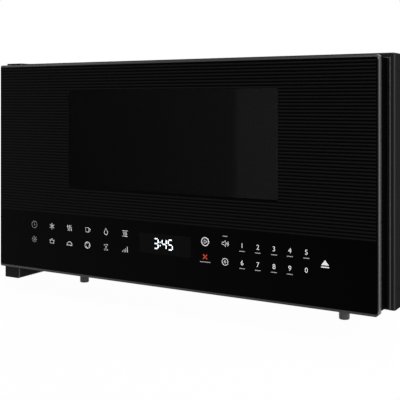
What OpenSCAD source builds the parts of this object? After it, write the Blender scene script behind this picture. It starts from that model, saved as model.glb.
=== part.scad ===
/* [Door] */
// How far each side of the door stands in from the side of the body
door_side_gap = 7.5; // [4:0.5:17.5]
// How far the top of the door stands below the top of the body
door_top_gap = 4; // [4:0.5:10]
// Depth of the closed door, from the face of the glass to the back of the inner cover
door_d = 43.2; // [42.4:0.2:44]
// Running gap between the door and the front plate of the body
door_gap = 1.8; // [1.4:0.1:2.4]
// Thickness of the door glass
glass_t = 4; // [3:0.5:5]
// Corner radius of the door glass and of the door frame
door_r = 3; // [2:0.5:5]
// Height of the lip of the door frame under and over the glass
lip_h = 3; // [2.5:0.5:4]
// How far the lip stands back from the face of the glass
lip_step = 0.6; // [0.2:0.1:1.5]
// Depth of the door frame, with the glass
frame_d = 14; // [13:0.5:15]
// Wall of the door frame
frame_wall = 3; // [2:0.5:3.5]
// Thickness of the flange that the glass is bonded to
flange_t = 1.5; // [1:0.25:3]
// Width of the flange that the glass is bonded to
flange_w = 14; // [10:1:16]
// How far the inner cover stands in from the edges of the door
cover_inset = 2.5; // [1:0.5:3]
// Wall of the inner cover
cover_wall = 2.4; // [2:0.2:3]
// Chamfer along the rear upright edge of the inner cover at the hinge side
cover_chamfer = 3; // [2:0.5:3.5]

/* [Window] */
// Distance of the window from the right edge of the door
window_right = 129.7; // [110:0.1:160]
// Distance of the window from the top edge of the door
window_top = 39.3; // [32:0.1:60]
// Distance of the window from the left edge of the door
window_left = 136.3; // [110:0.1:160]
// Height of the window above the bottom edge of the door
window_bottom = 130.7; // [125:0.1:138]
// How far the shroud stands outside the window on each side
shroud_margin = 3; // [1:0.5:5]
// Wall of the window shroud
shroud_wall = 2; // [1.5:0.25:3]
// Thickness of the perforated screen
screen_t = 0.6; // [0.4:0.1:1]
// Overlap of the screen on the choke frame around the window
screen_lap = 6; // [4:1:9]
// Thickness of the inner window pane
pane_t = 2; // [1.5:0.1:2.3]

/* [Choke] */
// Sheet thickness of the choke frame
choke_t = 1; // [0.8:0.1:1.5]
// Overlap of the flat panel of the choke frame past the cavity opening
choke_lap = 6; // [5:0.5:7]
// Width of the choke channel around the flat panel
choke_w = 15; // [12:0.5:15]
// Depth of the choke channel
choke_d = 21; // [16:0.5:22]

/* [Controls] */
// Distance of the control board from the right edge of the door
board_right = 47; // [41:1:73]
// Height of the control board
board_h = 56; // [50:1:60]
// Distance of the control board from the left edge of the door
board_left = 52; // [48:1:60]
// Height of the control board above the bottom edge of the door
board_bottom = 31; // [28:1:38]
// Thickness of the circuit boards
board_t = 1.6; // [1:0.2:2]
// Thickness of the display module
display_t = 4; // [3:0.2:4.4]
// Width of the display module
display_w = 83.7; // [70:0.1:95]
// Height of the display module
display_h = 27.9; // [24:0.1:32]
// Distance of the display from the left edge of the door
display_left = 263; // [240:1:280]
// Height of the display above the bottom edge of the door
display_bottom = 45.4; // [42:0.1:50]
// Wall of the board holder
holder_wall = 2; // [1.5:0.25:3]
// Space between the board and the edge of its holder
holder_space = 4; // [2:0.5:5]

/* [Hinges] */
// Distance of the hinge axis from the left edge of the door
pivot_inset = 11.5; // [10.5:0.1:12]
// Distance of the hinge axis behind the face of the glass
pivot_depth = 19; // [18.5:0.1:20]
// Radius of the hinge pins
pin_r = 3; // [2.5:0.1:3.2]
// Radial clearance of the hinge pins in their bushes
pin_clear = 0.05; // [0.02:0.01:0.1]
// Wall of the hinge bushes
bush_wall = 1.45; // [1:0.05:1.6]
// Width of the flange of the hinge bushes past their wall
bush_flange_w = 1; // [0.5:0.1:1.2]
// Thickness of the flange of the hinge bushes
bush_flange_t = 1.5; // [1:0.1:2]
// Length of a hinge bush above its flange
bush_len = 6; // [5:0.5:9]
// Thickness of the hinge lugs in the door
lug_t = 3; // [2:0.5:4]
// Height of the upright leg of the hinge lugs
lug_leg_h = 56; // [50:1:70]
// Running gap between the door and the hinge brackets
hinge_gap = 1; // [0.6:0.1:1.2]
// Width of the hinge brackets
bracket_w = 31; // [28:0.5:34]
// Distance of the hinge brackets from the left edge of the door
bracket_left = 2; // [1:0.5:3]
// Distance of the front of the lower bracket behind the face of the glass
bracket_front = 7; // [5:0.5:9]
// Height of the lower bracket
bracket_h = 17; // [10:0.5:18]
// How far the brackets reach back under and over the body
bracket_reach = 31; // [24:1:40]
// Wall of the lower bracket
bracket_wall = 2; // [1.5:0.25:3]
// Corner radius of the lower bracket
bracket_r = 3; // [1:0.5:4]
// Height of the leg of the upper bracket behind the front plate
upper_leg_h = 30; // [24:1:40]

/* [Body] */
// Width of the body
body_w = 620; // [617:1:640]
// Height of the body
body_h = 317; // [317:1:340]
// Depth of the body
body_d = 448; // [440:1:470]
// Thickness of the outer case
case_t = 1; // [0.8:0.1:1.2]
// Bend radius of the outer case, outside
case_r = 2.5; // [2:0.25:4]
// Width of the rim that the outer case folds in at the front
case_rim_w = 7.5; // [6:0.5:7.5]
// Width of the flange that the rear panel is screwed to
rear_flange_w = 12; // [10:0.5:16]
// Thickness of the front plate
front_t = 1.2; // [1:0.1:1.5]
// Thickness of the base plate
base_t = 1.2; // [1:0.1:2]
// Thickness of the rear panel
rear_t = 1.2; // [1:0.1:1.5]
// How far the rear panel stands inside the rear edge of the case
rear_step = 2; // [2:0.25:4]
// Length of the feet under the body
foot_h = 36; // [20:1:40]
// Radius of the feet at the top
foot_top_r = 7.8; // [6:0.1:9]
// Radius of the feet at the floor
foot_low_r = 7.2; // [5:0.1:9]
// Distance of the feet from the sides of the body
foot_inset = 88.5; // [70:0.5:130]
// Distance of the front feet behind the front of the body
foot_front = 62.8; // [40:0.1:90]
// Distance of the rear feet in front of the rear of the body
foot_rear = 45; // [30:1:80]
// Radius of the trim fixing holes in the sides of the case
trim_hole_r = 2.3; // [1.5:0.1:3]
// Distance of the trim fixing holes behind the front of the body
trim_hole_back = 17; // [12:0.5:30]
// Distance between the trim fixing holes
trim_hole_spacing = 270; // [266:1:276]

/* [Cavity] */
// Width of the space for the electrics on each side of the cavity
bay_w = 95; // [95:0.5:100]
// Height of the space over the cavity
cavity_headroom = 31; // [31:0.5:35]
// Inside depth of the cavity
cavity_d = 374; // [360:1:375]
// Sheet thickness of the cavity
cavity_t = 1; // [0.8:0.1:1]
// Height of the cavity floor above the underside of the body
cavity_rise = 54; // [50:0.5:54]

/* [Turntable] */
// Radius of the glass tray
tray_r = 172; // [150:1:176]
// Thickness of the floor of the glass tray
tray_t = 5; // [4:0.5:6]
// Height of the rim of the glass tray
tray_rim_h = 12; // [8:0.5:16]
// Radius of the rollers
roller_r = 8; // [7:0.5:10]
// Thickness of the rollers
roller_t = 6; // [4:0.5:8]
// Distance of the rollers from the middle of the tray
roller_track_r = 105; // [80:1:130]
// Play of the rollers over the floor and under the tray
roller_play = 0.2; // [0.1:0.05:0.3]
// Radius of the roller axles
axle_r = 2; // [1.5:0.1:2.5]
// Radial clearance of the roller axles and of the motor shafts
axle_clear = 0.06; // [0.02:0.01:0.1]
// Radius of the drive coupler
coupler_r = 22; // [18:1:26]
// Radius of the coupler shaft
coupler_shaft_r = 3.5; // [3:0.1:5]
// Radius of the turntable motor
tray_motor_r = 25; // [20:1:30]
// Height of the turntable motor
tray_motor_h = 22; // [16:1:26]

/* [Latch] */
// Distance of the latch hooks from the right edge of the door
hook_inset = 40.5; // [38:0.5:41]
// Height of the middle of the two hooks above the middle of the door
hook_rise = 17; // [10:1:20]
// Distance between the two hooks
hook_spacing = 140; // [136:1:144]
// Thickness of the hooks
hook_t = 5; // [4:0.5:6]
// Height of the hook arms
hook_h = 10; // [8:0.5:12]
// How far the hooks reach behind the face of the glass
hook_reach = 70; // [70:0.5:72]
// Length of the nose of the hooks
nose_d = 6; // [5:0.5:7]
// Drop of the nose of the hooks
nose_drop = 4.5; // [3.5:0.25:4.6]
// Travel of the latch
latch_travel = 5; // [5:0.1:6]
// Clearance of the latch and the lifter in their guides
slide_clear = 0.3; // [0.2:0.05:0.4]
// Press of the interlock plungers
plunger_press = 1; // [0.6:0.1:1.4]
// Radius of the interlock plungers
plunger_r = 1.5; // [1.2:0.1:2]
// Length of the interlock plungers out of their switch
plunger_out = 3; // [2:0.5:4]

/* [Hidden] */
$fn = 48;
// Over-cut that makes a hole break through a face
over = 0.5;

// Sizes that follow the body
door_w = body_w - 2 * door_side_gap;
door_h = body_h - hinge_gap - door_top_gap;
window_w = door_w - window_left - window_right;
window_h = door_h - window_bottom - window_top;
board_w = door_w - board_left - board_right;
cavity_w = body_w - 2 * bay_w;
cavity_h = body_h - cavity_rise - cavity_headroom;
foot_x = body_w / 2 - foot_inset;

// Places of the door
door_front = -(body_d + door_d + door_gap - case_t) / 2;
door_low = foot_h + hinge_gap;
door_top = door_low + door_h;
door_left = -door_w / 2;
door_right = door_w / 2;

// Places of the body
body_front = door_front + door_d + door_gap - case_t;
body_back = body_front + body_d;
body_low = foot_h;
body_top = foot_h + body_h;
plate_front = body_front + case_t;
plate_back = plate_front + front_t;
rear_out = body_back - rear_step;
rear_in = rear_out - rear_t;
inner_x = body_w / 2 - case_t;
inner_top = body_top - case_t;
bend_r = case_r - case_t;
base_top = body_low + base_t;

// Places of the cavity
cavity_floor = body_low + cavity_rise;
cavity_top = cavity_floor + cavity_h;
cavity_back = plate_back + cavity_d;
cavity_x = cavity_w / 2;
side_x = cavity_x + cavity_t;
tray_y = (plate_back + cavity_back) / 2;

// Places of the hinge axis
pivot_x = door_left + pivot_inset;
pivot_y = door_front + pivot_depth;

function depth_y(depth) = door_front + depth;
function ring_spot(radius, angle) = [radius * cos(angle), radius * sin(angle)];

// A block between two opposite corners
module block(low, high) {
    translate(low)
        cube(high - low);
}

// A block that is even about the middle plane
module slab(half_x, y0, y1, z0, z1) {
    block([-half_x, y0, z0], [half_x, y1, z1]);
}

// A round bar along x, y or z that starts at a point
module bar_x(from, length, radius) {
    translate(from)
        rotate([0, 90, 0])
            cylinder(h = length, r = radius);
}

module bar_y(from, length, radius) {
    translate(from)
        rotate([-90, 0, 0])
            cylinder(h = length, r = radius);
}

module bar_z(from, length, radius) {
    translate(from)
        cylinder(h = length, r = radius);
}

// A flat shape in x and z, extruded along y from y0 to y1
module front_sheet(y0, y1) {
    translate([0, y1, 0])
        rotate([90, 0, 0])
            linear_extrude(y1 - y0)
                children();
}

// A flat shape in y and z, extruded along x from x0 to x1
module side_sheet(x0, x1) {
    translate([x0, 0, 0])
        rotate([90, 0, 90])
            linear_extrude(x1 - x0)
                children();
}

// A rectangle with round corners between two corner points
module round_rect(low, high, radius) {
    translate([low.x + radius, low.y])
        square([high.x - low.x - 2 * radius, high.y - low.y]);
    translate([low.x, low.y + radius])
        square([high.x - low.x, high.y - low.y - 2 * radius]);
    for (x = [low.x + radius, high.x - radius], y = [low.y + radius, high.y - radius])
        translate([x, y])
            circle(radius);
}

// Row of upright slots in a sheet that faces along y
module vent_slots(x, z, y0, y1, count, pitch, width, height) {
    for (i = [0 : count - 1])
        block([x + i * pitch, y0 - over, z], [x + i * pitch + width, y1 + over, z + height]);
}

// The glass covers the whole door between the two lips of the frame
module door_glass() {
    color([0.02, 0.02, 0.022])
        front_sheet(door_front, depth_y(glass_t))
            round_rect([door_left, door_low + lip_h], [door_right, door_top - lip_h], door_r);
}

// Places of the screws that hold the inner cover to the bosses of the frame
boss_r = 4;
boss_inset = 20.5;
boss_rise = 23;
screw_r = 1.5;
screw_clear = 0.06;
screw_len = 12;
screw_head_r = 3;
screw_head_t = 1.2;
screw_sink = 0.1;
cover_spots = [
    for (x = [door_left + boss_inset, door_right - boss_inset])
        for (z = [door_low + boss_rise, (door_low + door_top) / 2, door_top - boss_rise])
            [x, z]
];
cover_back_in = door_d - cover_wall;

// The frame is a moulded rim with a flange behind the glass, lips above and below it, and screw bosses
module door_frame() {
    color([0.16, 0.16, 0.17])
    difference() {
        union() {
            difference() {
                front_sheet(depth_y(lip_step), depth_y(frame_d))
                    round_rect([door_left, door_low], [door_right, door_top], door_r);
                front_sheet(door_front - over, depth_y(glass_t))
                    round_rect([door_left, door_low + lip_h], [door_right, door_top - lip_h], door_r);
                block([door_left - over, door_front - over, door_low + lip_h + door_r],
                    [door_right + over, depth_y(glass_t), door_top - lip_h - door_r]);
                front_sheet(depth_y(glass_t + flange_t), depth_y(frame_d) + over)
                    round_rect([door_left + frame_wall, door_low + frame_wall],
                        [door_right - frame_wall, door_top - frame_wall], door_r);
                front_sheet(depth_y(glass_t) - over, depth_y(frame_d))
                    round_rect([door_left + flange_w, door_low + flange_w],
                        [door_right - flange_w, door_top - flange_w], door_r);
            }
            for (spot = cover_spots) {
                bar_y([spot.x, depth_y(glass_t), spot.y], cover_back_in - glass_t, boss_r);
                block([spot.x - boss_inset / 2, depth_y(glass_t), spot.y - boss_r],
                    [spot.x + boss_inset / 2, depth_y(glass_t + flange_t), spot.y + boss_r]);
            }
        }
        for (spot = cover_spots)
            bar_y([spot.x, depth_y(cover_back_in - screw_len - over), spot.y], screw_len + 2 * over,
                screw_r + screw_clear);
    }
}

// Places of the latch in the door
hook_x = door_right - hook_inset;
hook_zs = [for (side = [-1, 1]) (door_low + door_top + side * hook_spacing) / 2 + hook_rise];
slider_w = 12;
slider_t = 6;
slider_front = 24;
slider_tail = 20;
slider_low = hook_zs[0] - slider_tail;
slider_top = hook_zs[1] + slider_tail;
guide_h = 15;
guide_wall = 3;
guide_zs = [hook_zs[0] + 30, hook_zs[1] - 30 - guide_h + hook_h];
spring_len = 20;
spring_r = 3;
anchor_t = 3;
hook_play = 1;
cover_x = door_w / 2 - cover_inset;
cover_low = door_low + cover_inset;
cover_top = door_top - cover_inset;
panel_x = cavity_x + choke_lap;
panel_low = cavity_floor - choke_lap;
panel_top = cavity_top + choke_lap;
pane_seat = 1;
pin_hole_r = 6.5;

// The inner cover closes the back of the door and guides the latch
module door_inner_cover() {
    cut = cover_chamfer * sqrt(2);
    color([0.05, 0.05, 0.055])
    difference() {
        union() {
            difference() {
                slab(cover_x, depth_y(frame_d), depth_y(door_d), cover_low, cover_top);
                slab(cover_x - cover_wall, depth_y(frame_d) - over, depth_y(cover_back_in),
                    cover_low + cover_wall, cover_top - cover_wall);
                slab(panel_x - pane_seat, depth_y(frame_d), depth_y(door_d) + over,
                    panel_low + pane_seat, panel_top - pane_seat);
            }
            for (z = guide_zs)
                block([hook_x - slider_w / 2 - guide_wall, depth_y(slider_front - guide_wall), z],
                    [hook_x + slider_w / 2 + guide_wall, depth_y(cover_back_in), z + guide_h]);
            block([hook_x - slider_w / 2, depth_y(slider_front), slider_top + spring_len],
                [hook_x + slider_w / 2, depth_y(cover_back_in), slider_top + spring_len + anchor_t]);
        }
        block([hook_x - slider_w / 2 - slide_clear, depth_y(slider_front - slide_clear), slider_low],
            [hook_x + slider_w / 2 + slide_clear, depth_y(slider_front + slider_t + slide_clear), slider_top]);
        for (z = hook_zs)
            block([hook_x - hook_t / 2 - hook_play, depth_y(cover_back_in) - over, z - hook_play],
                [hook_x + hook_t / 2 + hook_play, depth_y(door_d) + over, z + hook_h + latch_travel + hook_play]);
        for (spot = cover_spots) {
            bar_y([spot.x, depth_y(frame_d), spot.y], door_d - frame_d + over, screw_r + screw_clear);
            bar_y([spot.x, depth_y(door_d - screw_head_t - screw_sink), spot.y], screw_head_t + screw_sink + over,
                screw_head_r + screw_sink);
        }
        bar_z([pivot_x, pivot_y, cover_low - over], cover_wall + 2 * over, pin_hole_r);
        bar_z([pivot_x, pivot_y, cover_top - cover_wall - over], cover_wall + 2 * over, pin_hole_r);
        translate([-cover_x, depth_y(door_d), cover_low])
            rotate([0, 0, 45])
                cube([cut, cut, 2 * (cover_top - cover_low + over)], center = true);
    }
}

window_x0 = door_left + window_left;
window_z0 = door_low + window_bottom;

// The window outline, grown by a margin on every side
module window_block(margin, y0, y1) {
    block([window_x0 - margin, y0, window_z0 - margin],
        [window_x0 + window_w + margin, y1, window_z0 + window_h + margin]);
}

choke_front = cover_back_in - choke_d;
panel_front = cover_back_in - choke_t;

// The choke frame is a pressed tray: a flat panel in the middle and a channel all round it
module door_choke_frame() {
    color([0.32, 0.32, 0.33])
    difference() {
        union() {
            difference() {
                slab(panel_x + choke_w, depth_y(choke_front), depth_y(panel_front),
                    panel_low - choke_w, panel_top + choke_w);
                slab(panel_x + choke_w - choke_t, depth_y(choke_front + choke_t), depth_y(panel_front) + over,
                    panel_low - choke_w + choke_t, panel_top + choke_w - choke_t);
            }
            slab(panel_x, depth_y(choke_front), depth_y(cover_back_in), panel_low, panel_top);
        }
        slab(panel_x - choke_t, depth_y(choke_front) - over, depth_y(panel_front),
            panel_low + choke_t, panel_top - choke_t);
        window_block(shroud_margin, depth_y(choke_front), depth_y(door_d));
    }
}

// The perforated sheet lies on the front of the choke frame behind the window
module door_screen() {
    color([0.2, 0.2, 0.2])
        window_block(shroud_margin + screen_lap, depth_y(panel_front - screen_t), depth_y(panel_front));
}

// The shroud closes the space between the glass and the screen all round the window
module window_shroud() {
    color([0.04, 0.04, 0.04])
    difference() {
        window_block(shroud_margin + shroud_wall, depth_y(glass_t), depth_y(panel_front - screen_t));
        window_block(shroud_margin, depth_y(glass_t) - over, depth_y(panel_front));
    }
}

pane_clear = 0.5;
pane_r = 4;

// The inner pane lies on the back of the choke frame, inside the edge of the inner cover
module inner_window_pane() {
    half = panel_x - pane_seat - pane_clear;
    color([0.1, 0.1, 0.11, 0.5])
        front_sheet(depth_y(cover_back_in), depth_y(cover_back_in + pane_t))
            round_rect([-half, panel_low + pane_seat + pane_clear], [half, panel_top - pane_seat - pane_clear], pane_r);
}

board_x0 = door_left + board_left;
board_z0 = door_low + board_bottom;
board_front = glass_t + display_t;
board_parts_t = 2;

// The board outline, grown by a margin on every side
module board_block(margin, y0, y1) {
    block([board_x0 - margin, y0, board_z0 - margin], [board_x0 + board_w + margin, y1, board_z0 + board_h + margin]);
}

chip_w = 14;
chip_ends = [0.08, 0.3, 0.55, 0.72, 0.9];

// The control board carries the touch sensors and the chips that read them
module control_board() {
    color([0.05, 0.2, 0.1]) {
        board_block(0, depth_y(board_front), depth_y(board_front + board_t));
        for (share = chip_ends)
            block([board_x0 + share * (board_w - chip_w), depth_y(board_front + board_t), board_z0 + board_h / 3],
                [board_x0 + share * (board_w - chip_w) + chip_w, depth_y(board_front + board_t + board_parts_t),
                    board_z0 + board_h * 2 / 3]);
    }
}

// The display sits on the board, right behind the glass
module display_module() {
    color([0.08, 0.08, 0.09])
        block([door_left + display_left, depth_y(glass_t), door_low + display_bottom],
            [door_left + display_left + display_w, depth_y(board_front), door_low + display_bottom + display_h]);
}

stud_r = 3;

// The holder is a shallow tray that keeps the board in place behind the glass
module board_holder() {
    margin = holder_space + holder_wall;
    color([0.75, 0.75, 0.72]) {
        difference() {
            board_block(margin, depth_y(glass_t), depth_y(frame_d));
            board_block(holder_space, depth_y(glass_t) - over, depth_y(frame_d - holder_wall));
        }
        for (share = [0.2, 0.45, 0.65, 0.8], z = [0.15, 0.85])
            bar_y([board_x0 + share * board_w, depth_y(board_front + board_t), board_z0 + z * board_h],
                frame_d - holder_wall - board_front - board_t, stud_r);
    }
}

bush_r = pin_r + pin_clear + bush_wall;
bush_rise = cover_inset + cover_wall + 0.6;
lug_low = door_low + bush_rise + bush_flange_t;
lug_top = door_top - bush_rise - bush_flange_t;
lug_r = 6;
lug_front = pivot_depth - lug_r;
lug_back = choke_front + choke_d - 6;

// One lug: an arm at the hinge axis and an upright leg on the side of the choke frame
module hinge_lug(arm_z, leg_z) {
    leg_x = -panel_x - choke_w;
    difference() {
        union() {
            block([pivot_x, depth_y(lug_front), arm_z], [leg_x, depth_y(lug_back), arm_z + lug_t]);
            bar_z([pivot_x, pivot_y, arm_z], lug_t, lug_r);
            block([leg_x - lug_t, depth_y(choke_front), leg_z], [leg_x, depth_y(lug_back), leg_z + lug_leg_h]);
        }
        bar_z([pivot_x, pivot_y, arm_z - over], lug_t + 2 * over, bush_r);
    }
}

// Two steel lugs carry the door on its bushes
module hinge_lugs() {
    color([0.5, 0.5, 0.5]) {
        hinge_lug(lug_low, lug_low);
        hinge_lug(lug_top - lug_t, lug_top - lug_leg_h);
    }
}

// Each bush has a flange on the outer face of its lug
module hinge_bushes() {
    color([0.85, 0.84, 0.8])
    difference() {
        union() {
            bar_z([pivot_x, pivot_y, lug_low - bush_flange_t], bush_flange_t, bush_r + bush_flange_w);
            bar_z([pivot_x, pivot_y, lug_low], bush_len, bush_r);
            bar_z([pivot_x, pivot_y, lug_top], bush_flange_t, bush_r + bush_flange_w);
            bar_z([pivot_x, pivot_y, lug_top - bush_len], bush_len, bush_r);
        }
        bar_z([pivot_x, pivot_y, door_low], door_h, pin_r + pin_clear);
    }
}

// Countersunk screws through the inner cover into the bosses of the frame
module door_screws() {
    color([0.4, 0.4, 0.42])
        for (spot = cover_spots) {
            bar_y([spot.x, depth_y(door_d - screw_head_t - screw_sink), spot.y], screw_head_t, screw_head_r);
            bar_y([spot.x, depth_y(cover_back_in - screw_len + 1), spot.y],
                screw_len - 1 + cover_wall - screw_head_t - screw_sink, screw_r);
        }
}

nose_front = hook_reach - nose_d;
nose_ramp = 3;
slider_back = slider_front + slider_t;

// The slider is an upright bar with two hooks that reach into the body
module latch_slider() {
    color([0.82, 0.8, 0.74]) {
        block([hook_x - slider_w / 2, depth_y(slider_front), slider_low],
            [hook_x + slider_w / 2, depth_y(slider_back), slider_top]);
        for (z = hook_zs)
            side_sheet(hook_x - hook_t / 2, hook_x + hook_t / 2)
                polygon([
                    [depth_y(slider_back), z],
                    [depth_y(nose_front), z],
                    [depth_y(nose_front), z - nose_drop],
                    [depth_y(hook_reach - nose_ramp), z - nose_drop],
                    [depth_y(hook_reach), z - nose_drop + nose_ramp],
                    [depth_y(hook_reach), z + hook_h],
                    [depth_y(slider_back), z + hook_h]
                ]);
    }
}

// The spring between the slider and its stop in the inner cover presses the hooks down
module latch_spring() {
    color([0.6, 0.6, 0.6])
        bar_z([hook_x, depth_y(slider_front + slider_t / 2), slider_top], spring_len, spring_r);
}

shoulder_r = 4.4;
shoulder_clear = 0.1;
pin_head_r = 5;
pin_head_t = 1.5;
web_t = 2;

// The lower pin has a shoulder that the bush turns on, and both pins are riveted in their brackets
module hinge_pins() {
    color([0.7, 0.7, 0.72]) {
        bar_z([pivot_x, pivot_y, body_low - web_t - pin_head_t], pin_head_t, pin_head_r);
        bar_z([pivot_x, pivot_y, body_low - web_t], lug_low + bush_len - 1 - body_low + web_t, pin_r);
        bar_z([pivot_x, pivot_y, body_low], lug_low - bush_flange_t - shoulder_clear - body_low, shoulder_r);
        bar_z([pivot_x, pivot_y, lug_top - bush_len + 1], inner_top - lug_top + bush_len - 1, pin_r);
    }
}

bracket_x0 = door_left + bracket_left;
bracket_back = body_front - door_front + bracket_reach;
bracket_screw_xs = [bracket_x0 + 8, bracket_x0 + bracket_w - 8];
bracket_screw_y = body_front + bracket_reach / 2 + 2;

// The lower bracket is a pressed cup that is screwed under the base plate and carries the lower pin
module lower_hinge_bracket() {
    x1 = bracket_x0 + bracket_w;
    low = body_low - bracket_h;
    color([0.12, 0.12, 0.12])
    difference() {
        intersection() {
            translate([0, 0, low])
                linear_extrude(bracket_h)
                    round_rect([bracket_x0, depth_y(bracket_front)], [x1, depth_y(bracket_back)], bracket_r);
            front_sheet(depth_y(bracket_front), depth_y(bracket_back))
                round_rect([bracket_x0, low], [x1, body_low + bracket_r], bracket_r);
            block([bracket_x0, depth_y(bracket_front), low], [x1, depth_y(bracket_back), body_low]);
        }
        block([bracket_x0 + bracket_wall, depth_y(bracket_front + bracket_wall), low - over],
            [x1 - bracket_wall, depth_y(bracket_back - bracket_wall), body_low - web_t]);
        bar_z([pivot_x, pivot_y, low], bracket_h + over, pin_r);
        for (x = bracket_screw_xs)
            bar_z([x, bracket_screw_y, low], bracket_h + over, screw_r + screw_clear);
    }
}

upper_front = 8;

// The upper bracket runs out over the door through a notch in the front plate
module upper_hinge_bracket() {
    x1 = bracket_x0 + bracket_w;
    web_low = inner_top - web_t;
    color([0.3, 0.3, 0.31])
    difference() {
        union() {
            translate([0, 0, web_low])
                linear_extrude(web_t)
                    round_rect([bracket_x0, pivot_y - upper_front], [x1, depth_y(bracket_back)], bracket_r);
            block([bracket_x0, plate_back, web_low - upper_leg_h], [x1, plate_back + web_t, web_low]);
        }
        bar_z([pivot_x, pivot_y, web_low - over], web_t + 2 * over, pin_r);
        for (x = bracket_screw_xs)
            bar_y([x, plate_back - over, web_low - upper_leg_h / 2], web_t + 2 * over, screw_r + screw_clear);
    }
}

notch_clear = 0.3;
slot_play_right = 4.5;

// The notch that the upper bracket passes through
module bracket_notch(y0, y1) {
    block([bracket_x0 - notch_clear, y0 - over, inner_top - web_t - notch_clear],
        [bracket_x0 + bracket_w + notch_clear, y1 + over, inner_top]);
}

// The front plate closes the body around the cavity and has slots for the two hooks
module front_plate() {
    web_low = inner_top - web_t;
    color([0.1, 0.1, 0.1])
    difference() {
        slab(inner_x - bend_r, plate_front, plate_back, body_low, inner_top - bend_r);
        slab(cavity_x, plate_front - over, plate_back + over, cavity_floor, cavity_top);
        bracket_notch(plate_front, plate_back);
        for (z = hook_zs)
            block([hook_x - hook_t / 2 - hook_play, plate_front - over, z - nose_drop - hook_play],
                [hook_x + hook_t / 2 + slot_play_right, plate_back + over, z + hook_h + latch_travel + hook_play]);
        for (x = bracket_screw_xs)
            bar_y([x, plate_front - over, web_low - upper_leg_h / 2], front_t + 2 * over, screw_r + screw_clear);
    }
}

port_y = 55;
port_w = 84;
port_h = 40;
port_rise = 172;
port_z = cavity_floor + port_rise;
lamp_y = body_front + 105;
lamp_rise = 176;
lamp_z = cavity_floor + lamp_rise;
lamp_hole_r = 1.6;
lamp_hole_pitch = 6;
air_hole_r = 2.4;
air_hole_pitch = 11;
air_rings = 4;
air_z = (cavity_floor + cavity_top) / 2;
coupler_hole_r = coupler_shaft_r + 6;

// Holes in the rear wall: rings around the middle, where the convection fan draws
module air_holes() {
    for (ring = [1 : air_rings], i = [0 : 6 * ring - 1])
        let (spot = ring_spot(ring * air_hole_pitch, i * 60 / ring))
            bar_y([spot.x, cavity_back - over, air_z + spot.y], cavity_t + 2 * over, air_hole_r);
}

// Blow holes of the convection fan, in a row at each side of the rings
blow_x = 88;
blow_rows = 7;
module blow_holes() {
    for (side = [-1, 1], column = [0 : 1], row = [0 : blow_rows - 1])
        bar_y([side * (blow_x + column * air_hole_pitch), cavity_back - over,
            air_z + (row - (blow_rows - 1) / 2) * air_hole_pitch], cavity_t + 2 * over, air_hole_r);
}

// The cavity is one welded box of enamelled sheet, open at the front
module oven_cavity() {
    color([0.45, 0.45, 0.46])
    difference() {
        slab(side_x, plate_back, cavity_back + cavity_t, cavity_floor - cavity_t, cavity_top + cavity_t);
        slab(cavity_x, plate_back - over, cavity_back, cavity_floor, cavity_top);
        bar_z([0, tray_y, cavity_floor - cavity_t - over], cavity_t + 2 * over, coupler_hole_r);
        block([cavity_x - over, port_y - port_w / 2, port_z - port_h / 2],
            [side_x + over, port_y + port_w / 2, port_z + port_h / 2]);
        air_holes();
        blow_holes();
        for (row = [-2 : 2], column = [-2 : 2])
            bar_x([-side_x - over, lamp_y + column * lamp_hole_pitch, lamp_z + row * lamp_hole_pitch],
                cavity_t + 2 * over, lamp_hole_r);
    }
}

// The outline of the case, set in by an amount, with its front and top edges rounded
module case_solid(inset, extra) {
    x = body_w / 2 - inset;
    y0 = body_front + inset;
    y1 = body_back + extra;
    z1 = body_top - inset;
    radius = case_r - inset;
    intersection() {
        front_sheet(y0, y1) {
            translate([-x, body_low - extra])
                square([2 * x, z1 - body_low + extra - radius]);
            translate([-x + radius, body_low - extra])
                square([2 * (x - radius), z1 - body_low + extra]);
            for (side = [-1, 1])
                translate([side * (x - radius), z1 - radius])
                    circle(radius);
        }
        translate([0, 0, body_low - extra])
            linear_extrude(body_h + extra) {
                translate([-x, y0 + radius])
                    square([2 * x, y1 - y0 - radius]);
                translate([-x + radius, y0])
                    square([2 * (x - radius), y1 - y0]);
                for (side = [-1, 1])
                    translate([side * (x - radius), y0 + radius])
                        circle(radius);
            }
        side_sheet(-x, x) {
            translate([y0 + radius, body_low - extra])
                square([y1 - y0 - radius, z1 - body_low + extra]);
            translate([y0, body_low - extra])
                square([y1 - y0, z1 - body_low + extra - radius]);
            translate([y0 + radius, z1 - radius])
                circle(radius);
        }
    }
}

trim_hole_zs = [for (side = [-1, 1]) (body_low + body_top) / 2 + side * trim_hole_spacing / 2];
rear_screws_side = [for (x = [-1, 1], z = [0.12, 0.5, 0.88]) [x * (inner_x - rear_flange_w / 2), body_low + z * body_h]];
rear_screws_top = [for (x = [-0.5, 0.5]) [x * body_w / 2, inner_top - rear_flange_w / 2]];
rear_spots = concat(rear_screws_side, rear_screws_top);

// The case is one folded sheet: two sides and the top, with a rim at the front and a flange at the rear
module outer_case() {
    color([0.07, 0.07, 0.075])
    difference() {
        union() {
            difference() {
                case_solid(0, 0);
                case_solid(case_t, 1);
            }
            difference() {
                slab(inner_x, rear_in - case_t, rear_in, base_top, inner_top);
                slab(inner_x - rear_flange_w, rear_in - case_t - over, rear_in + over, body_low,
                    inner_top - rear_flange_w);
            }
        }
        slab(body_w / 2 - case_rim_w, body_front - over, plate_front + over, body_low - over, body_top - case_rim_w);
        bracket_notch(body_front, plate_front + bend_r);
        for (z = trim_hole_zs)
            bar_x([-body_w, body_front + trim_hole_back, z], 2 * body_w, trim_hole_r);
        for (spot = rear_spots)
            bar_y([spot.x, rear_in - case_t - over, spot.y], case_t + 2 * over, screw_r + screw_clear);
    }
}

foot_front_y = body_front + foot_front;
foot_rear_y = body_back - foot_rear;
vent_pitch = 9;
vent_w = 5;
vent_h = 26;
vent_row = vent_h + vent_w;
base_vent_count = 8;

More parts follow.
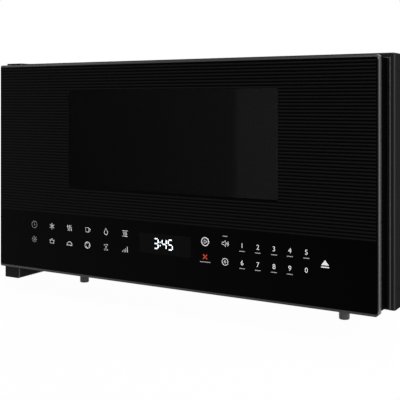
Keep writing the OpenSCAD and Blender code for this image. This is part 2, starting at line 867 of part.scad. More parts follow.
// The base plate closes the body below, with air slots under the right side
module base_plate() {
    color([0.55, 0.56, 0.57])
    difference() {
        slab(inner_x, plate_back, rear_in, body_low, base_top);
        for (x = bracket_screw_xs)
            bar_z([x, bracket_screw_y, body_low - over], base_t + 2 * over, screw_r + screw_clear);
        for (x = [-foot_x, foot_x], y = [foot_front_y, foot_rear_y])
            bar_z([x, y, body_low - over], base_t + 2 * over, screw_r + screw_clear);
        for (i = [0 : base_vent_count - 1])
            block([inner_x - 24 - vent_h, tray_y + 90 + i * vent_pitch, body_low - over],
                [inner_x - 24, tray_y + 90 + i * vent_pitch + vent_w, base_top + over]);
    }
}

gland_shift = 12.5;
gland_x = gland_shift - (side_x + inner_x) / 2;
gland_z = body_low + 60;
gland_r = 9;
gland_bore_r = 4.2;
gland_len = 12;
gland_flange_r = 12;
gland_flange_t = 2;
fan_x = (side_x + inner_x) / 2;
fan_rise = 160;
fan_z = body_low + fan_rise;
rear_vent_rows = 3;
rear_vent_count = 8;

// The rear panel closes the body behind, with air slots at the cooling fan and at the left
module rear_panel() {
    color([0.5, 0.51, 0.52])
    difference() {
        front_sheet(rear_in, rear_out)
            round_rect([-inner_x, body_low], [inner_x, inner_top], bend_r);
        for (row = [0 : rear_vent_rows - 1]) {
            vent_slots(fan_x - rear_vent_count * vent_pitch / 2 + 2, fan_z - 44 + row * vent_row, rear_in, rear_out,
                rear_vent_count, vent_pitch, vent_w, vent_h);
            vent_slots(gland_x - rear_vent_count * vent_pitch / 2, fan_z - 44 + row * vent_row, rear_in, rear_out,
                rear_vent_count, vent_pitch, vent_w, vent_h);
        }
        bar_y([gland_x, rear_in - over, gland_z], rear_t + 2 * over, gland_r);
        for (spot = rear_spots)
            bar_y([spot.x, rear_in - over, spot.y], rear_t + 2 * over, screw_r + screw_clear);
    }
}

// Screws of the rear panel, and of the two hinge brackets
module body_screws() {
    leg_z = inner_top - web_t - upper_leg_h / 2;
    color([0.6, 0.6, 0.62]) {
        for (spot = rear_spots) {
            bar_y([spot.x, rear_out, spot.y], rear_step, screw_head_r);
            bar_y([spot.x, rear_in - case_t - 3, spot.y], case_t + 3 + rear_t, screw_r);
        }
        for (x = bracket_screw_xs) {
            bar_z([x, bracket_screw_y, body_low - web_t - screw_head_t], screw_head_t, screw_head_r);
            bar_z([x, bracket_screw_y, body_low - web_t], web_t + base_t + 3, screw_r);
            bar_y([x, plate_back + web_t, leg_z], screw_head_t, screw_head_r);
            bar_y([x, plate_front, leg_z], front_t + web_t, screw_r);
        }
    }
}

foot_flange_r = 11;
foot_flange_t = 2;

// One foot: a tapered post with a flange against the base plate, and its screw
module foot(x, y) {
    translate([x, y, 0]) {
        cylinder(h = foot_h, r1 = foot_low_r, r2 = foot_top_r);
        translate([0, 0, foot_h - foot_flange_t])
            cylinder(h = foot_flange_t, r = foot_flange_r);
        cylinder(h = foot_h + base_t + 2, r = screw_r);
    }
}

module feet() {
    color([0.4, 0.4, 0.4])
        for (x = [-foot_x, foot_x], y = [foot_front_y, foot_rear_y])
            foot(x, y);
}

// The gland is the bush in the rear panel that the supply cord passes through
module cord_gland() {
    color([0.05, 0.05, 0.05])
    difference() {
        union() {
            bar_y([gland_x, rear_out + rear_step - gland_len, gland_z], gland_len, gland_r);
            bar_y([gland_x, rear_out, gland_z], rear_step, gland_flange_r);
            bar_y([gland_x, rear_in - gland_flange_t, gland_z], gland_flange_t, gland_flange_r);
        }
        bar_y([gland_x, rear_in - gland_len, gland_z], 2 * gland_len, gland_bore_r);
    }
}

guide_t = 1;
guide_w = 90;
guide_len = 110;
guide_tall = 44;
guide_y0 = port_y - guide_len / 2;
guide_z0 = port_z - guide_tall / 2;
guide_x1 = side_x + guide_w;
antenna_r = 8;
antenna_len = 34;
magnetron_x = side_x + guide_w / 2;
magnetron_y = port_y + 5;

// The waveguide is a folded duct from the magnetron to the port in the cavity wall
module waveguide() {
    color([0.65, 0.65, 0.66])
    difference() {
        block([side_x, guide_y0, guide_z0], [guide_x1, guide_y0 + guide_len, guide_z0 + guide_tall]);
        block([side_x - over, guide_y0 + guide_t, guide_z0 + guide_t],
            [guide_x1 - guide_t, guide_y0 + guide_len - guide_t, guide_z0 + guide_tall - guide_t]);
        bar_z([magnetron_x, magnetron_y, guide_z0 - over], guide_t + 2 * over, antenna_r + 1);
    }
}

mica_t = 0.8;
mica_lap = 6;

// The mica sheet covers the port on the inside of the cavity
module waveguide_cover() {
    color([0.75, 0.68, 0.52])
        block([cavity_x - mica_t, port_y - port_w / 2 - mica_lap, port_z - port_h / 2 - mica_lap],
            [cavity_x, port_y + port_w / 2 + mica_lap, port_z + port_h / 2 + mica_lap]);
}

yoke_w = 84;
yoke_l = 80;
yoke_h = 72;
yoke_t = 2;
yoke_top = guide_z0;
yoke_low = yoke_top - yoke_h;
fin_count = 8;
fin_t = 1;
anode_r = 20;
fin_edge = 2;

// The core is the anode with its antenna and its cooling fins
module magnetron_core() {
    color([0.7, 0.7, 0.72]) {
        bar_z([magnetron_x, magnetron_y, yoke_low + yoke_t], yoke_h - 2 * yoke_t, anode_r);
        difference() {
            bar_z([magnetron_x, magnetron_y, yoke_top - yoke_t], yoke_t + antenna_len, antenna_r);
            bar_z([magnetron_x, magnetron_y, yoke_top + antenna_len - 4], 4 + over, antenna_r - 2);
        }
        for (i = [1 : fin_count])
            let (z = yoke_low + yoke_t + i * (yoke_h - 2 * yoke_t) / (fin_count + 1))
                block([magnetron_x - yoke_w / 2 + yoke_t, magnetron_y - yoke_l / 2 + fin_edge, z],
                    [magnetron_x + yoke_w / 2 - yoke_t, magnetron_y + yoke_l / 2 - fin_edge, z + fin_t]);
    }
}

// The yoke is a steel box, open front and rear so that air passes between the fins
module magnetron_yoke() {
    color([0.6, 0.6, 0.62])
    difference() {
        block([magnetron_x - yoke_w / 2, magnetron_y - yoke_l / 2, yoke_low],
            [magnetron_x + yoke_w / 2, magnetron_y + yoke_l / 2, yoke_top]);
        block([magnetron_x - yoke_w / 2 + yoke_t, magnetron_y - yoke_l / 2 - over, yoke_low + yoke_t],
            [magnetron_x + yoke_w / 2 - yoke_t, magnetron_y + yoke_l / 2 + over, yoke_top - yoke_t]);
        bar_z([magnetron_x, magnetron_y, yoke_top - yoke_t - over], yoke_t + 2 * over, antenna_r);
    }
}

filter_h = 34;
filter_w = 62;
filter_l = 56;
tab_w = 7;
tab_l = 9;

// The filter box under the yoke carries the two supply tabs
module magnetron_filter() {
    color([0.62, 0.62, 0.64]) {
        block([magnetron_x - filter_w / 2, magnetron_y - filter_l / 2, yoke_low - filter_h],
            [magnetron_x + filter_w / 2, magnetron_y + filter_l / 2, yoke_low]);
        for (side = [-1, 1])
            block([magnetron_x + side * 12 - tab_w / 2, magnetron_y - filter_l / 2 - tab_l, yoke_low - filter_h / 2],
                [magnetron_x + side * 12 + tab_w / 2, magnetron_y - filter_l / 2, yoke_low - filter_h / 2 + 1]);
    }
}

core_w = 80;
core_l = 100;
core_h = 70;
core_foot_t = 3;
core_y0 = tray_y - 90;
core_x0 = fan_x - core_w / 2;
coil_r = 12;
coil_gap = 2;

// The transformer core stands on the base plate with the windings in its two windows
module transformer_core() {
    color([0.35, 0.34, 0.33])
    difference() {
        union() {
            block([core_x0, core_y0, base_top + core_foot_t], [core_x0 + core_w, core_y0 + core_l, base_top + core_h]);
            block([core_x0 - 3, core_y0 + 8, base_top], [core_x0 + core_w + 3, core_y0 + core_l - 8, base_top + core_foot_t]);
        }
        for (low = [core_foot_t + 10, core_h - 24])
            block([core_x0 - over, core_y0 + 15, base_top + low],
                [core_x0 + core_w + over, core_y0 + core_l - 15, base_top + low + 14]);
    }
}

// The windings fill the windows of the core and stand out at its two sides
module transformer_windings() {
    color([0.6, 0.32, 0.14])
        for (low = [core_foot_t + 10, core_h - 24])
            block([core_x0 - 4, core_y0 + 15 + coil_gap / 4, base_top + low + coil_gap / 4],
                [core_x0 + core_w + 4, core_y0 + core_l - 15 - coil_gap / 4, base_top + low + 14 - coil_gap / 4]);
}

can_r = 17;
can_span = 22;
can_l = 96;
can_y0 = core_y0 + core_l + 22;
can_z = base_top + can_r + 3;
can_tab = 8;

// The outline of the capacitor can, grown by a margin
module can_outline(margin) {
    for (side = [-1, 1])
        translate([fan_x + side * can_span / 2, can_z])
            circle(can_r + margin);
    translate([fan_x - can_span / 2, can_z - can_r - margin])
        square([can_span, 2 * (can_r + margin)]);
}

// The capacitor is an oval can with two tabs at its front
module capacitor() {
    color([0.75, 0.75, 0.76]) {
        front_sheet(can_y0, can_y0 + can_l)
            can_outline(0);
        for (side = [-1, 1])
            block([fan_x + side * 10 - 3, can_y0 - can_tab, can_z - 0.5], [fan_x + side * 10 + 3, can_y0, can_z + 0.5]);
    }
}

clamp_t = 1.5;
clamp_w = 18;

// The clamp is a strap over the can with two feet on the base plate
module capacitor_clamp() {
    y0 = can_y0 + can_l / 2 - clamp_w / 2;
    foot_x1 = can_span / 2 + can_r + clamp_t;
    color([0.6, 0.6, 0.62])
    difference() {
        union() {
            front_sheet(y0, y0 + clamp_w) {
                can_outline(clamp_t);
                translate([fan_x - foot_x1, base_top])
                    square([2 * foot_x1, can_z - base_top]);
            }
            block([fan_x - foot_x1 - 8, y0, base_top], [fan_x + foot_x1 + 8, y0 + clamp_w, base_top + clamp_t]);
        }
        front_sheet(y0 - over, y0 + clamp_w + over)
            can_outline(0);
    }
}

diode_y = can_y0 + can_l + 16;
diode_l = 18;
diode_r = 4;

// The diode lies on the base plate, held by its ring terminal
module diode() {
    color([0.1, 0.1, 0.1])
    difference() {
        union() {
            bar_x([fan_x - diode_l / 2, diode_y, base_top + diode_r], diode_l, diode_r);
            block([fan_x + diode_l / 2, diode_y - 4, base_top], [fan_x + diode_l / 2 + 14, diode_y + 4, base_top + 1]);
            block([fan_x + diode_l / 2 - 1, diode_y - 2, base_top],
                [fan_x + diode_l / 2 + 1, diode_y + 2, base_top + diode_r]);
        }
        bar_z([fan_x + diode_l / 2 + 9, diode_y, base_top - over], 1 + 2 * over, 2);
    }
}

stand_x = -side_x - 48;
stand_t = 4;
stand_foot_w = 24;
stand_h = 172;
stand_l = 180;
stand_y0 = tray_y - 116;
relay_edge = 10;
relay_gap = 3;
relay_size = [17, 22, 20];

// The stand is a plastic plate on the base plate that holds the relay board upright
module board_stand() {
    color([0.7, 0.7, 0.66]) {
        block([stand_x, stand_y0, base_top], [stand_x + stand_t, stand_y0 + stand_l, base_top + stand_h]);
        block([stand_x - stand_foot_w, stand_y0, base_top], [stand_x, stand_y0 + stand_l, base_top + stand_t]);
        for (y = [stand_y0 + 2 * relay_edge, stand_y0 + stand_l - 2 * relay_edge])
            for (z = [base_top + 3 * relay_edge, base_top + stand_h - 2 * relay_edge])
                bar_x([stand_x + stand_t, y, z], relay_gap, stud_r);
    }
}

// The relay board with its relays and its small transformer
module relay_board() {
    x0 = stand_x + stand_t + relay_gap;
    x1 = x0 + board_t;
    color([0.1, 0.28, 0.14]) {
        block([x0, stand_y0 + relay_edge, base_top + 2 * relay_edge],
            [x1, stand_y0 + stand_l - relay_edge, base_top + stand_h - relay_edge]);
        for (i = [0 : 3])
            translate([x1, stand_y0 + 24 + i * 34, base_top + 110])
                cube(relay_size);
        block([x1, stand_y0 + 24, base_top + 40], [x1 + 26, stand_y0 + 62, base_top + 76]);
        for (i = [0 : 2])
            bar_x([x1, stand_y0 + 90 + i * 22, base_top + 56], 18, 8);
    }
}

cutout_r = 8;
cutout_h = 9;
cutout_spots = [[-60, -60], [90, -20], [150, 120]];

// Thermal cut-outs, pressed on the top of the cavity
module thermal_cutouts() {
    z0 = cavity_top + cavity_t;
    color([0.15, 0.12, 0.1])
        for (spot = cutout_spots) {
            bar_z([spot.x, tray_y + spot.y, z0], cutout_h, cutout_r);
            block([spot.x - 12, tray_y + spot.y - 3, z0], [spot.x + 12, tray_y + spot.y + 3, z0 + 1]);
        }
}

lamp_box = [34, 46, 46];
lamp_wall = 1;
bulb_r = 10;
bulb_len = 20;
socket_r = 7;
socket_len = 8;

// The lamp is a bulb on a socket in a sheet box that is open towards the lamp holes
module cavity_lamp() {
    x0 = -side_x - lamp_box.x;
    color([0.7, 0.7, 0.68]) {
        difference() {
            block([x0, lamp_y - lamp_box.y / 2, lamp_z - lamp_box.z / 2],
                [-side_x, lamp_y + lamp_box.y / 2, lamp_z + lamp_box.z / 2]);
            block([x0 + lamp_wall, lamp_y - lamp_box.y / 2 + lamp_wall, lamp_z - lamp_box.z / 2 + lamp_wall],
                [-side_x + over, lamp_y + lamp_box.y / 2 - lamp_wall, lamp_z + lamp_box.z / 2 - lamp_wall]);
        }
        bar_x([x0 + lamp_wall, lamp_y, lamp_z], socket_len, socket_r);
        bar_x([x0 + lamp_wall + socket_len, lamp_y, lamp_z], bulb_len - bulb_r, bulb_r);
        translate([x0 + lamp_wall + socket_len + bulb_len - bulb_r, lamp_y, lamp_z])
            sphere(bulb_r);
    }
}

plate_t = 3;
lock_front = depth_y(door_d + door_gap + front_t);
lock_plate_back = lock_front + plate_t;
lock_x0 = hook_x - 22;
lock_x1 = hook_x + 28;
lock_depth = 50;
lock_back = lock_front + lock_depth;
lock_low = hook_zs[0] - 36;
lock_top = hook_zs[1] + 30;
lock_wall = 3;
sill_front = 56;
sill_back = 62.5;
sill_drop = 12;
switch_w = 10;
switch_l = 28;
switch_h = 16;
switch_y0 = depth_y(nose_front - 1);
shelf_t = 3;
lifter_t = 4;
lifter_front = lock_plate_back + slide_clear;
finger_back = depth_y(sill_front - 1.5);
solenoid_r = 13;
solenoid_h = 40;
solenoid_low = (hook_zs[0] + hook_zs[1]) / 2 - 14;
armature_r = 4;
armature_y = lifter_front + 29;

// The interlock bracket carries the sills for the hooks, the switches and the solenoid
module interlock_bracket() {
    wall_x = lock_x1 - lock_wall;
    color([0.8, 0.8, 0.76])
    difference() {
        union() {
            block([lock_x0, lock_front, lock_low], [lock_x1, lock_plate_back, lock_top]);
            block([wall_x, lock_front, lock_low], [lock_x1, lock_back, lock_top]);
            for (z = hook_zs) {
                block([hook_x - 6, depth_y(sill_front), z - sill_drop], [wall_x, depth_y(sill_back), z - slide_clear]);
                block([hook_x - 6, depth_y(sill_back), z - nose_drop - slide_clear - plunger_out - switch_h - shelf_t],
                    [wall_x, lock_back, z - nose_drop - slide_clear - plunger_out - switch_h]);
            }
            block([hook_x - 6, depth_y(hook_reach) + slide_clear + plunger_out, hook_zs[0] + switch_l - 6],
                [wall_x, lock_back, hook_zs[0] + switch_l - 6 + shelf_t]);
            block([hook_x + solenoid_r, armature_y - solenoid_r, solenoid_low],
                [wall_x, armature_y + solenoid_r, solenoid_low + solenoid_h]);
        }
        for (z = hook_zs)
            block([hook_x - hook_t / 2 - hook_play, lock_front - over, z - nose_drop - hook_play],
                [hook_x + hook_t / 2 + slot_play_right, lock_plate_back + over, z + hook_h + latch_travel + hook_play]);
    }
}

// A switch body with the hole for its plunger at the top
module switch_body(z_top) {
    difference() {
        block([hook_x - switch_w / 2, switch_y0, z_top - switch_h], [hook_x + switch_w / 2, switch_y0 + switch_l, z_top]);
        bar_z([hook_x, depth_y(nose_front + nose_d / 4), z_top - plunger_press - 2], 10, plunger_r + slide_clear / 2);
    }
}

// Three switches: one under each nose, and the monitor switch behind the lower hook
module interlock_switches() {
    color([0.15, 0.15, 0.16]) {
        for (z = hook_zs)
            switch_body(z - nose_drop - slide_clear - plunger_out);
        difference() {
            y0 = depth_y(hook_reach) + slide_clear + plunger_out;
            block([hook_x - switch_w / 2, y0, hook_zs[0] - 6], [hook_x + switch_w / 2, y0 + switch_h,
                hook_zs[0] + switch_l - 6]);
            bar_y([hook_x, y0 - over, hook_zs[0] + hook_h / 2], over + plunger_press + 2, plunger_r + slide_clear / 2);
        }
    }
}

// A plunger that stands out of its switch towards the nose of a hook
module switch_plunger(z) {
    color([0.75, 0.1, 0.08])
        bar_z([hook_x, depth_y(nose_front + nose_d / 4), z - nose_drop - slide_clear - plunger_out - 1],
            plunger_out + 1, plunger_r);
}

module upper_plunger() {
    switch_plunger(hook_zs[1]);
}

module lower_plunger() {
    switch_plunger(hook_zs[0]);
}

module monitor_plunger() {
    color([0.75, 0.1, 0.08])
        bar_y([hook_x, depth_y(hook_reach) + slide_clear, hook_zs[0] + hook_h / 2], plunger_out + 1, plunger_r);
}

// The solenoid pulls its armature up
module release_solenoid() {
    color([0.7, 0.55, 0.2])
    difference() {
        block([hook_x - solenoid_r, armature_y - solenoid_r, solenoid_low],
            [hook_x + solenoid_r, armature_y + solenoid_r, solenoid_low + solenoid_h]);
        bar_z([hook_x, armature_y, solenoid_low - over], solenoid_h - 4 + over, armature_r + axle_clear);
    }
}

finger_t = 4;
tab_t = 4;
armature_low = solenoid_low - 22;

// The lifter is a bar with a finger under each hook, and a tab that ends in the armature
module release_lifter() {
    bar_x0 = lock_x0 + 4;
    color([0.78, 0.76, 0.7]) {
        block([bar_x0, lifter_front, hook_zs[0] - slide_clear - finger_t],
            [bar_x0 + lifter_t, lifter_front + 9, hook_zs[1] - slide_clear]);
        for (z = hook_zs)
            block([bar_x0, lifter_front, z - slide_clear - finger_t], [hook_x + 4, finger_back, z - slide_clear]);
        block([bar_x0, lifter_front, armature_low], [bar_x0 + lifter_t, armature_y + 4, armature_low + tab_t]);
        block([bar_x0, armature_y - 4, armature_low], [hook_x + 4, armature_y + 4, armature_low + tab_t]);
        bar_z([hook_x, armature_y, armature_low], solenoid_low + solenoid_h / 2 - armature_low, armature_r);
    }
}

roller_z = cavity_floor + roller_play + roller_r;
tray_low = roller_z + roller_r + roller_play;
motor_top = cavity_floor - cavity_t;
shaft_low = motor_top - tray_motor_h + 6;

// The turntable motor hangs under the cavity floor
module turntable_motor() {
    color([0.6, 0.6, 0.6])
    difference() {
        union() {
            bar_z([0, tray_y, motor_top - tray_motor_h], tray_motor_h, tray_motor_r);
            block([-tray_motor_r - 8, tray_y - 6, motor_top - 1.5], [tray_motor_r + 8, tray_y + 6, motor_top]);
        }
        bar_z([0, tray_y, shaft_low - 1], 100, coupler_shaft_r + axle_clear);
    }
}

hub_gap = 1;
hub_top = tray_low - 2;
lobe_w = 12;

// The coupler stands on the motor shaft and drives the tray with three lobes
module turntable_coupler() {
    color([0.9, 0.88, 0.82])
    translate([0, tray_y, 0]) {
        bar_z([0, 0, shaft_low], hub_top - shaft_low, coupler_shaft_r);
        bar_z([0, 0, cavity_floor + hub_gap], hub_top - cavity_floor - hub_gap, coupler_r / 2);
        for (i = [0 : 2])
            rotate(i * 120)
                block([0, -lobe_w / 2, cavity_floor + hub_gap], [coupler_r, lobe_w / 2, hub_top]);
    }
}

tray_foot_r = tray_r * 0.86;
lug_inner_r = 14;
lug_outer_r = 20;
lug_width = 8;

// The tray is a round dish of heat-proof glass with three lugs between the lobes of the coupler
module glass_tray() {
    color([0.75, 0.85, 0.85, 0.5])
    translate([0, tray_y, 0]) {
        translate([0, 0, tray_low])
            rotate_extrude($fn = 96)
                polygon([
                    [0, 0],
                    [tray_foot_r, 0],
                    [tray_r, tray_rim_h - 4],
                    [tray_r, tray_rim_h],
                    [tray_r - 4, tray_rim_h],
                    [tray_foot_r - 2, tray_t],
                    [0, tray_t]
                ]);
        for (i = [0 : 2])
            rotate(60 + i * 120)
                block([lug_inner_r, -lug_width / 2, hub_top - 3], [lug_outer_r, lug_width / 2, tray_low + 1]);
    }
}

ring_w = 6;
ring_h = 6;
ring_r = roller_track_r - roller_t / 2 - slide_clear;
stub_r = axle_r + 1.5;
axle_cap_t = 2;

// The roller ring runs under the tray and has three axles for the rollers
module roller_ring() {
    color([0.88, 0.86, 0.8])
    translate([0, tray_y, roller_z]) {
        difference() {
            translate([0, 0, -ring_h / 2])
                cylinder(h = ring_h, r = ring_r - ring_w / 2);
            translate([0, 0, -ring_h])
                cylinder(h = 2 * ring_h, r = ring_r - 1.5 * ring_w);
        }
        for (i = [0 : 2])
            rotate(90 + i * 120) {
                bar_x([ring_r - ring_w, 0, 0], ring_w, stub_r);
                bar_x([ring_r - ring_w, 0, 0], ring_w + roller_t + 2 * slide_clear + axle_cap_t, axle_r);
                bar_x([ring_r + roller_t + 2 * slide_clear, 0, 0], axle_cap_t, axle_r + 1.5);
            }
    }
}

// One roller on its axle
module roller(index) {
    color([0.8, 0.78, 0.72])
    translate([0, tray_y, roller_z])
        rotate(90 + index * 120)
            difference() {
                bar_x([ring_r + slide_clear, 0, 0], roller_t, roller_r);
                bar_x([ring_r + slide_clear - over, 0, 0], roller_t + 2 * over, axle_r + axle_clear);
            }
}

module roller_1() {
    roller(0);
}

module roller_2() {
    roller(1);
}

module roller_3() {
    roller(2);
}

chamber_x = 112;
chamber_h = 224;
chamber_d = 30;
chamber_t = 1;
chamber_y0 = cavity_back + cavity_t;
chamber_y1 = chamber_y0 + chamber_d;
wheel_r = 68;
wheel_y0 = chamber_y0 + 5;
wheel_d = 16;
wheel_hub_r = 10;
wheel_eye_r = 34;
wheel_blade_t = 1.5;
wheel_blades = 10;
fan_shaft_r = 2.5;
shaft_hole_r = fan_shaft_r + 2;
element_r = 3.2;
element_ring_r = 88;
element_y = chamber_y0 + 14;
element_gap_angle = 24;
fan_motor_r = 24;
fan_motor_l = 30;
motor_bore_l = 18;

// The convection housing is a pan behind the rear wall of the cavity
module convection_housing() {
    color([0.55, 0.55, 0.56])
    difference() {
        slab(chamber_x, chamber_y0, chamber_y1, air_z - chamber_h / 2, air_z + chamber_h / 2);
        slab(chamber_x - chamber_t, chamber_y0 - over, chamber_y1 - chamber_t, air_z - chamber_h / 2 + chamber_t,
            air_z + chamber_h / 2 - chamber_t);
        bar_y([0, chamber_y1 - chamber_t - over, air_z], chamber_t + 2 * over, shaft_hole_r);
        for (side = [-1, 1])
            let (spot = ring_spot(element_ring_r, -90 + side * element_gap_angle / 2))
                bar_y([spot.x, chamber_y1 - chamber_t - over, air_z + spot.y], chamber_t + 2 * over, element_r);
    }
}

clip_w = 6;
terminal_l = 10;

// The heater is a tube bent round the fan, on three clips, with its two ends out through the housing
module convection_element() {
    color([0.35, 0.34, 0.34]) {
        difference() {
            translate([0, element_y, air_z])
                rotate([90, 0, 0])
                    rotate_extrude()
                        translate([element_ring_r, 0])
                            circle(element_r);
            slab(element_ring_r * sin(element_gap_angle / 2), chamber_y0, chamber_y1,
                air_z - chamber_h / 2, air_z - element_ring_r / 2);
        }
        for (side = [-1, 1])
            let (spot = ring_spot(element_ring_r, -90 + side * element_gap_angle / 2))
                bar_y([spot.x, element_y - element_r, air_z + spot.y],
                    chamber_y1 + terminal_l - element_y + element_r, element_r);
        for (angle = [30, 90, 150])
            let (spot = ring_spot(element_ring_r, angle))
                block([spot.x - clip_w / 2, element_y + element_r - 1, air_z + spot.y - 1],
                    [spot.x + clip_w / 2, chamber_y1 - chamber_t, air_z + spot.y + 1]);
    }
}

// The convection fan is a bladed wheel with its shaft
module convection_fan() {
    color([0.7, 0.7, 0.7]) {
        difference() {
            bar_y([0, wheel_y0 + wheel_d - 1, air_z], 1, wheel_r);
            bar_y([0, wheel_y0 + wheel_d - 2, air_z], 3, wheel_hub_r - 1);
        }
        bar_y([0, wheel_y0 + 2, air_z], wheel_d - 2, wheel_hub_r);
        bar_y([0, wheel_y0 + 2, air_z], chamber_y1 + motor_bore_l - 1 - wheel_y0 - 2, fan_shaft_r);
        for (i = [0 : wheel_blades - 1])
            translate([0, 0, air_z])
                rotate([0, i * 360 / wheel_blades, 0])
                    block([wheel_eye_r, wheel_y0, -wheel_blade_t / 2], [wheel_r - 1, wheel_y0 + wheel_d, wheel_blade_t / 2]);
    }
}

shroud_half = 44;
shroud_y0 = rear_in - 46;
shroud_d = 34;
shroud_bore_r = 41;
strut_w = 8;
strut_t = 3;
rotor_r = 39;
rotor_hub_r = 13;
rotor_blades = 5;
rotor_pitch = 36;
rotor_chord = 22;
rotor_y = shroud_y0 + shroud_d / 2 + 3;

// Two equal fan motors: behind the convection housing, and in front of the shroud of the cooling fan
module fan_motor(x, y, z, facing) {
    translate([x, y, z])
        rotate([0, 0, facing])
            difference() {
                union() {
                    bar_y([0, 0, 0], fan_motor_l, fan_motor_r);
                    block([-fan_motor_r - 6, 0, -5], [fan_motor_r + 6, 2, 5]);
                }
                bar_y([0, -over, 0], motor_bore_l + over, fan_shaft_r + axle_clear);
            }
}

module fan_motors() {
    color([0.5, 0.5, 0.52]) {
        fan_motor(0, chamber_y1, air_z, 0);
        fan_motor(fan_x, shroud_y0, fan_z, 180);
    }
}

// The shroud is a square ring between the cavity and the case, with cross bars for the fan motor
module fan_shroud() {
    color([0.2, 0.2, 0.2])
    difference() {
        union() {
            difference() {
                block([fan_x - shroud_half, shroud_y0, fan_z - shroud_half],
                    [fan_x + shroud_half, shroud_y0 + shroud_d, fan_z + shroud_half]);
                bar_y([fan_x, shroud_y0 - over, fan_z], shroud_d + 2 * over, shroud_bore_r);
            }
            block([fan_x - shroud_half, shroud_y0, fan_z - strut_w / 2], [fan_x + shroud_half, shroud_y0 + strut_t,
                fan_z + strut_w / 2]);
            block([fan_x - strut_w / 2, shroud_y0, fan_z - shroud_half], [fan_x + strut_w / 2, shroud_y0 + strut_t,
                fan_z + shroud_half]);
            block([fan_x - shroud_half / 2, shroud_y0, base_top],
                [fan_x + shroud_half, shroud_y0 + strut_t, fan_z - shroud_half]);
        }
        bar_y([fan_x, shroud_y0 - over, fan_z], strut_t + 2 * over, shaft_hole_r - 1);
    }
}

// The cooling fan is a rotor with five pitched blades on its shaft
module cooling_fan() {
    color([0.82, 0.82, 0.8]) {
        bar_y([fan_x, rotor_y - 10, fan_z], 20, rotor_hub_r);
        bar_y([fan_x, shroud_y0 - motor_bore_l + 1, fan_z], rotor_y - shroud_y0 + motor_bore_l - 1, fan_shaft_r);
        for (i = [0 : rotor_blades - 1])
            translate([fan_x, rotor_y, fan_z])
                rotate([0, i * 360 / rotor_blades, 0])
                    rotate([rotor_pitch, 0, 0])
                        block([rotor_hub_r - 2, -rotor_chord / 2 + 3, -0.8], [rotor_r, rotor_chord / 2 - 3, 0.8]);
    }
}

door_glass();
door_frame();
door_inner_cover();
door_choke_frame();
door_screen();
window_shroud();
inner_window_pane();
control_board();
display_module();
board_holder();
hinge_lugs();
hinge_bushes();
door_screws();
latch_slider();
latch_spring();
hinge_pins();
lower_hinge_bracket();
upper_hinge_bracket();
front_plate();
oven_cavity();
outer_case();
base_plate();
rear_panel();
body_screws();
feet();
cord_gland();
waveguide();
waveguide_cover();
magnetron_core();
magnetron_yoke();
magnetron_filter();
transformer_core();
transformer_windings();
capacitor();
capacitor_clamp();
diode();
relay_board();
board_stand();
thermal_cutouts();
cavity_lamp();
interlock_bracket();
interlock_switches();
upper_plunger();
lower_plunger();
monitor_plunger();
release_solenoid();
release_lifter();
turntable_motor();
turntable_coupler();
glass_tray();
roller_ring();
roller_1();
roller_2();
roller_3();
convection_housing();
convection_element();
convection_fan();
fan_motors();
fan_shroud();
cooling_fan();
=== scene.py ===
import math

import bmesh
import bpy
from mathutils import Matrix, Vector


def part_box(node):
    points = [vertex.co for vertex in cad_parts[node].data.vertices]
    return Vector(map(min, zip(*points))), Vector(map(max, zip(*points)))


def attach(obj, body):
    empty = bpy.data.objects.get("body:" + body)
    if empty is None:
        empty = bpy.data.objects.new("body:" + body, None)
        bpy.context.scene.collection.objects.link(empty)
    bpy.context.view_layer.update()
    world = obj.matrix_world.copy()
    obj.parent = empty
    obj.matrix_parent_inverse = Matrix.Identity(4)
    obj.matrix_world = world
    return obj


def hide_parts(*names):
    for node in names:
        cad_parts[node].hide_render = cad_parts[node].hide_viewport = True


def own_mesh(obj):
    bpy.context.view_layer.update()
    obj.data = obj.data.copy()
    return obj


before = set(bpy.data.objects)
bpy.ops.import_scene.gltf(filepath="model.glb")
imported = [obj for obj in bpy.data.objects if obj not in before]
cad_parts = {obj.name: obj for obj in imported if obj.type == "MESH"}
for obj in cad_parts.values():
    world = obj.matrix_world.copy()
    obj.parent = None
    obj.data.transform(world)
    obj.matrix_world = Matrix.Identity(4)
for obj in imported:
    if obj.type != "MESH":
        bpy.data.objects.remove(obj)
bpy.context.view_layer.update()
scene = bpy.context.scene

# Oven cavity: one welded box of thin sheet, open at the front, in speckled grey enamel.
# Its rear wall is punched for the convection air, its left wall for the lamp.
mm = 0.001


def set_inputs(tree, node, values):
    """Sets inputs of a node to values, or links them to sockets or to the first output of nodes."""
    for label, value in values.items():
        for source in value if isinstance(value, list) else [value]:
            if isinstance(source, bpy.types.Node):
                source = source.outputs[0]
            if isinstance(source, bpy.types.NodeSocket):
                tree.links.new(source, node.inputs[label])
            else:
                node.inputs[label].default_value = source


def add_node(tree, kind, values=(), **settings):
    """A new node in a tree, with its settings and the values of its inputs."""
    node = tree.nodes.new(kind)
    for label, value in settings.items():
        setattr(node, label, value)
    set_inputs(tree, node, dict(values))
    return node


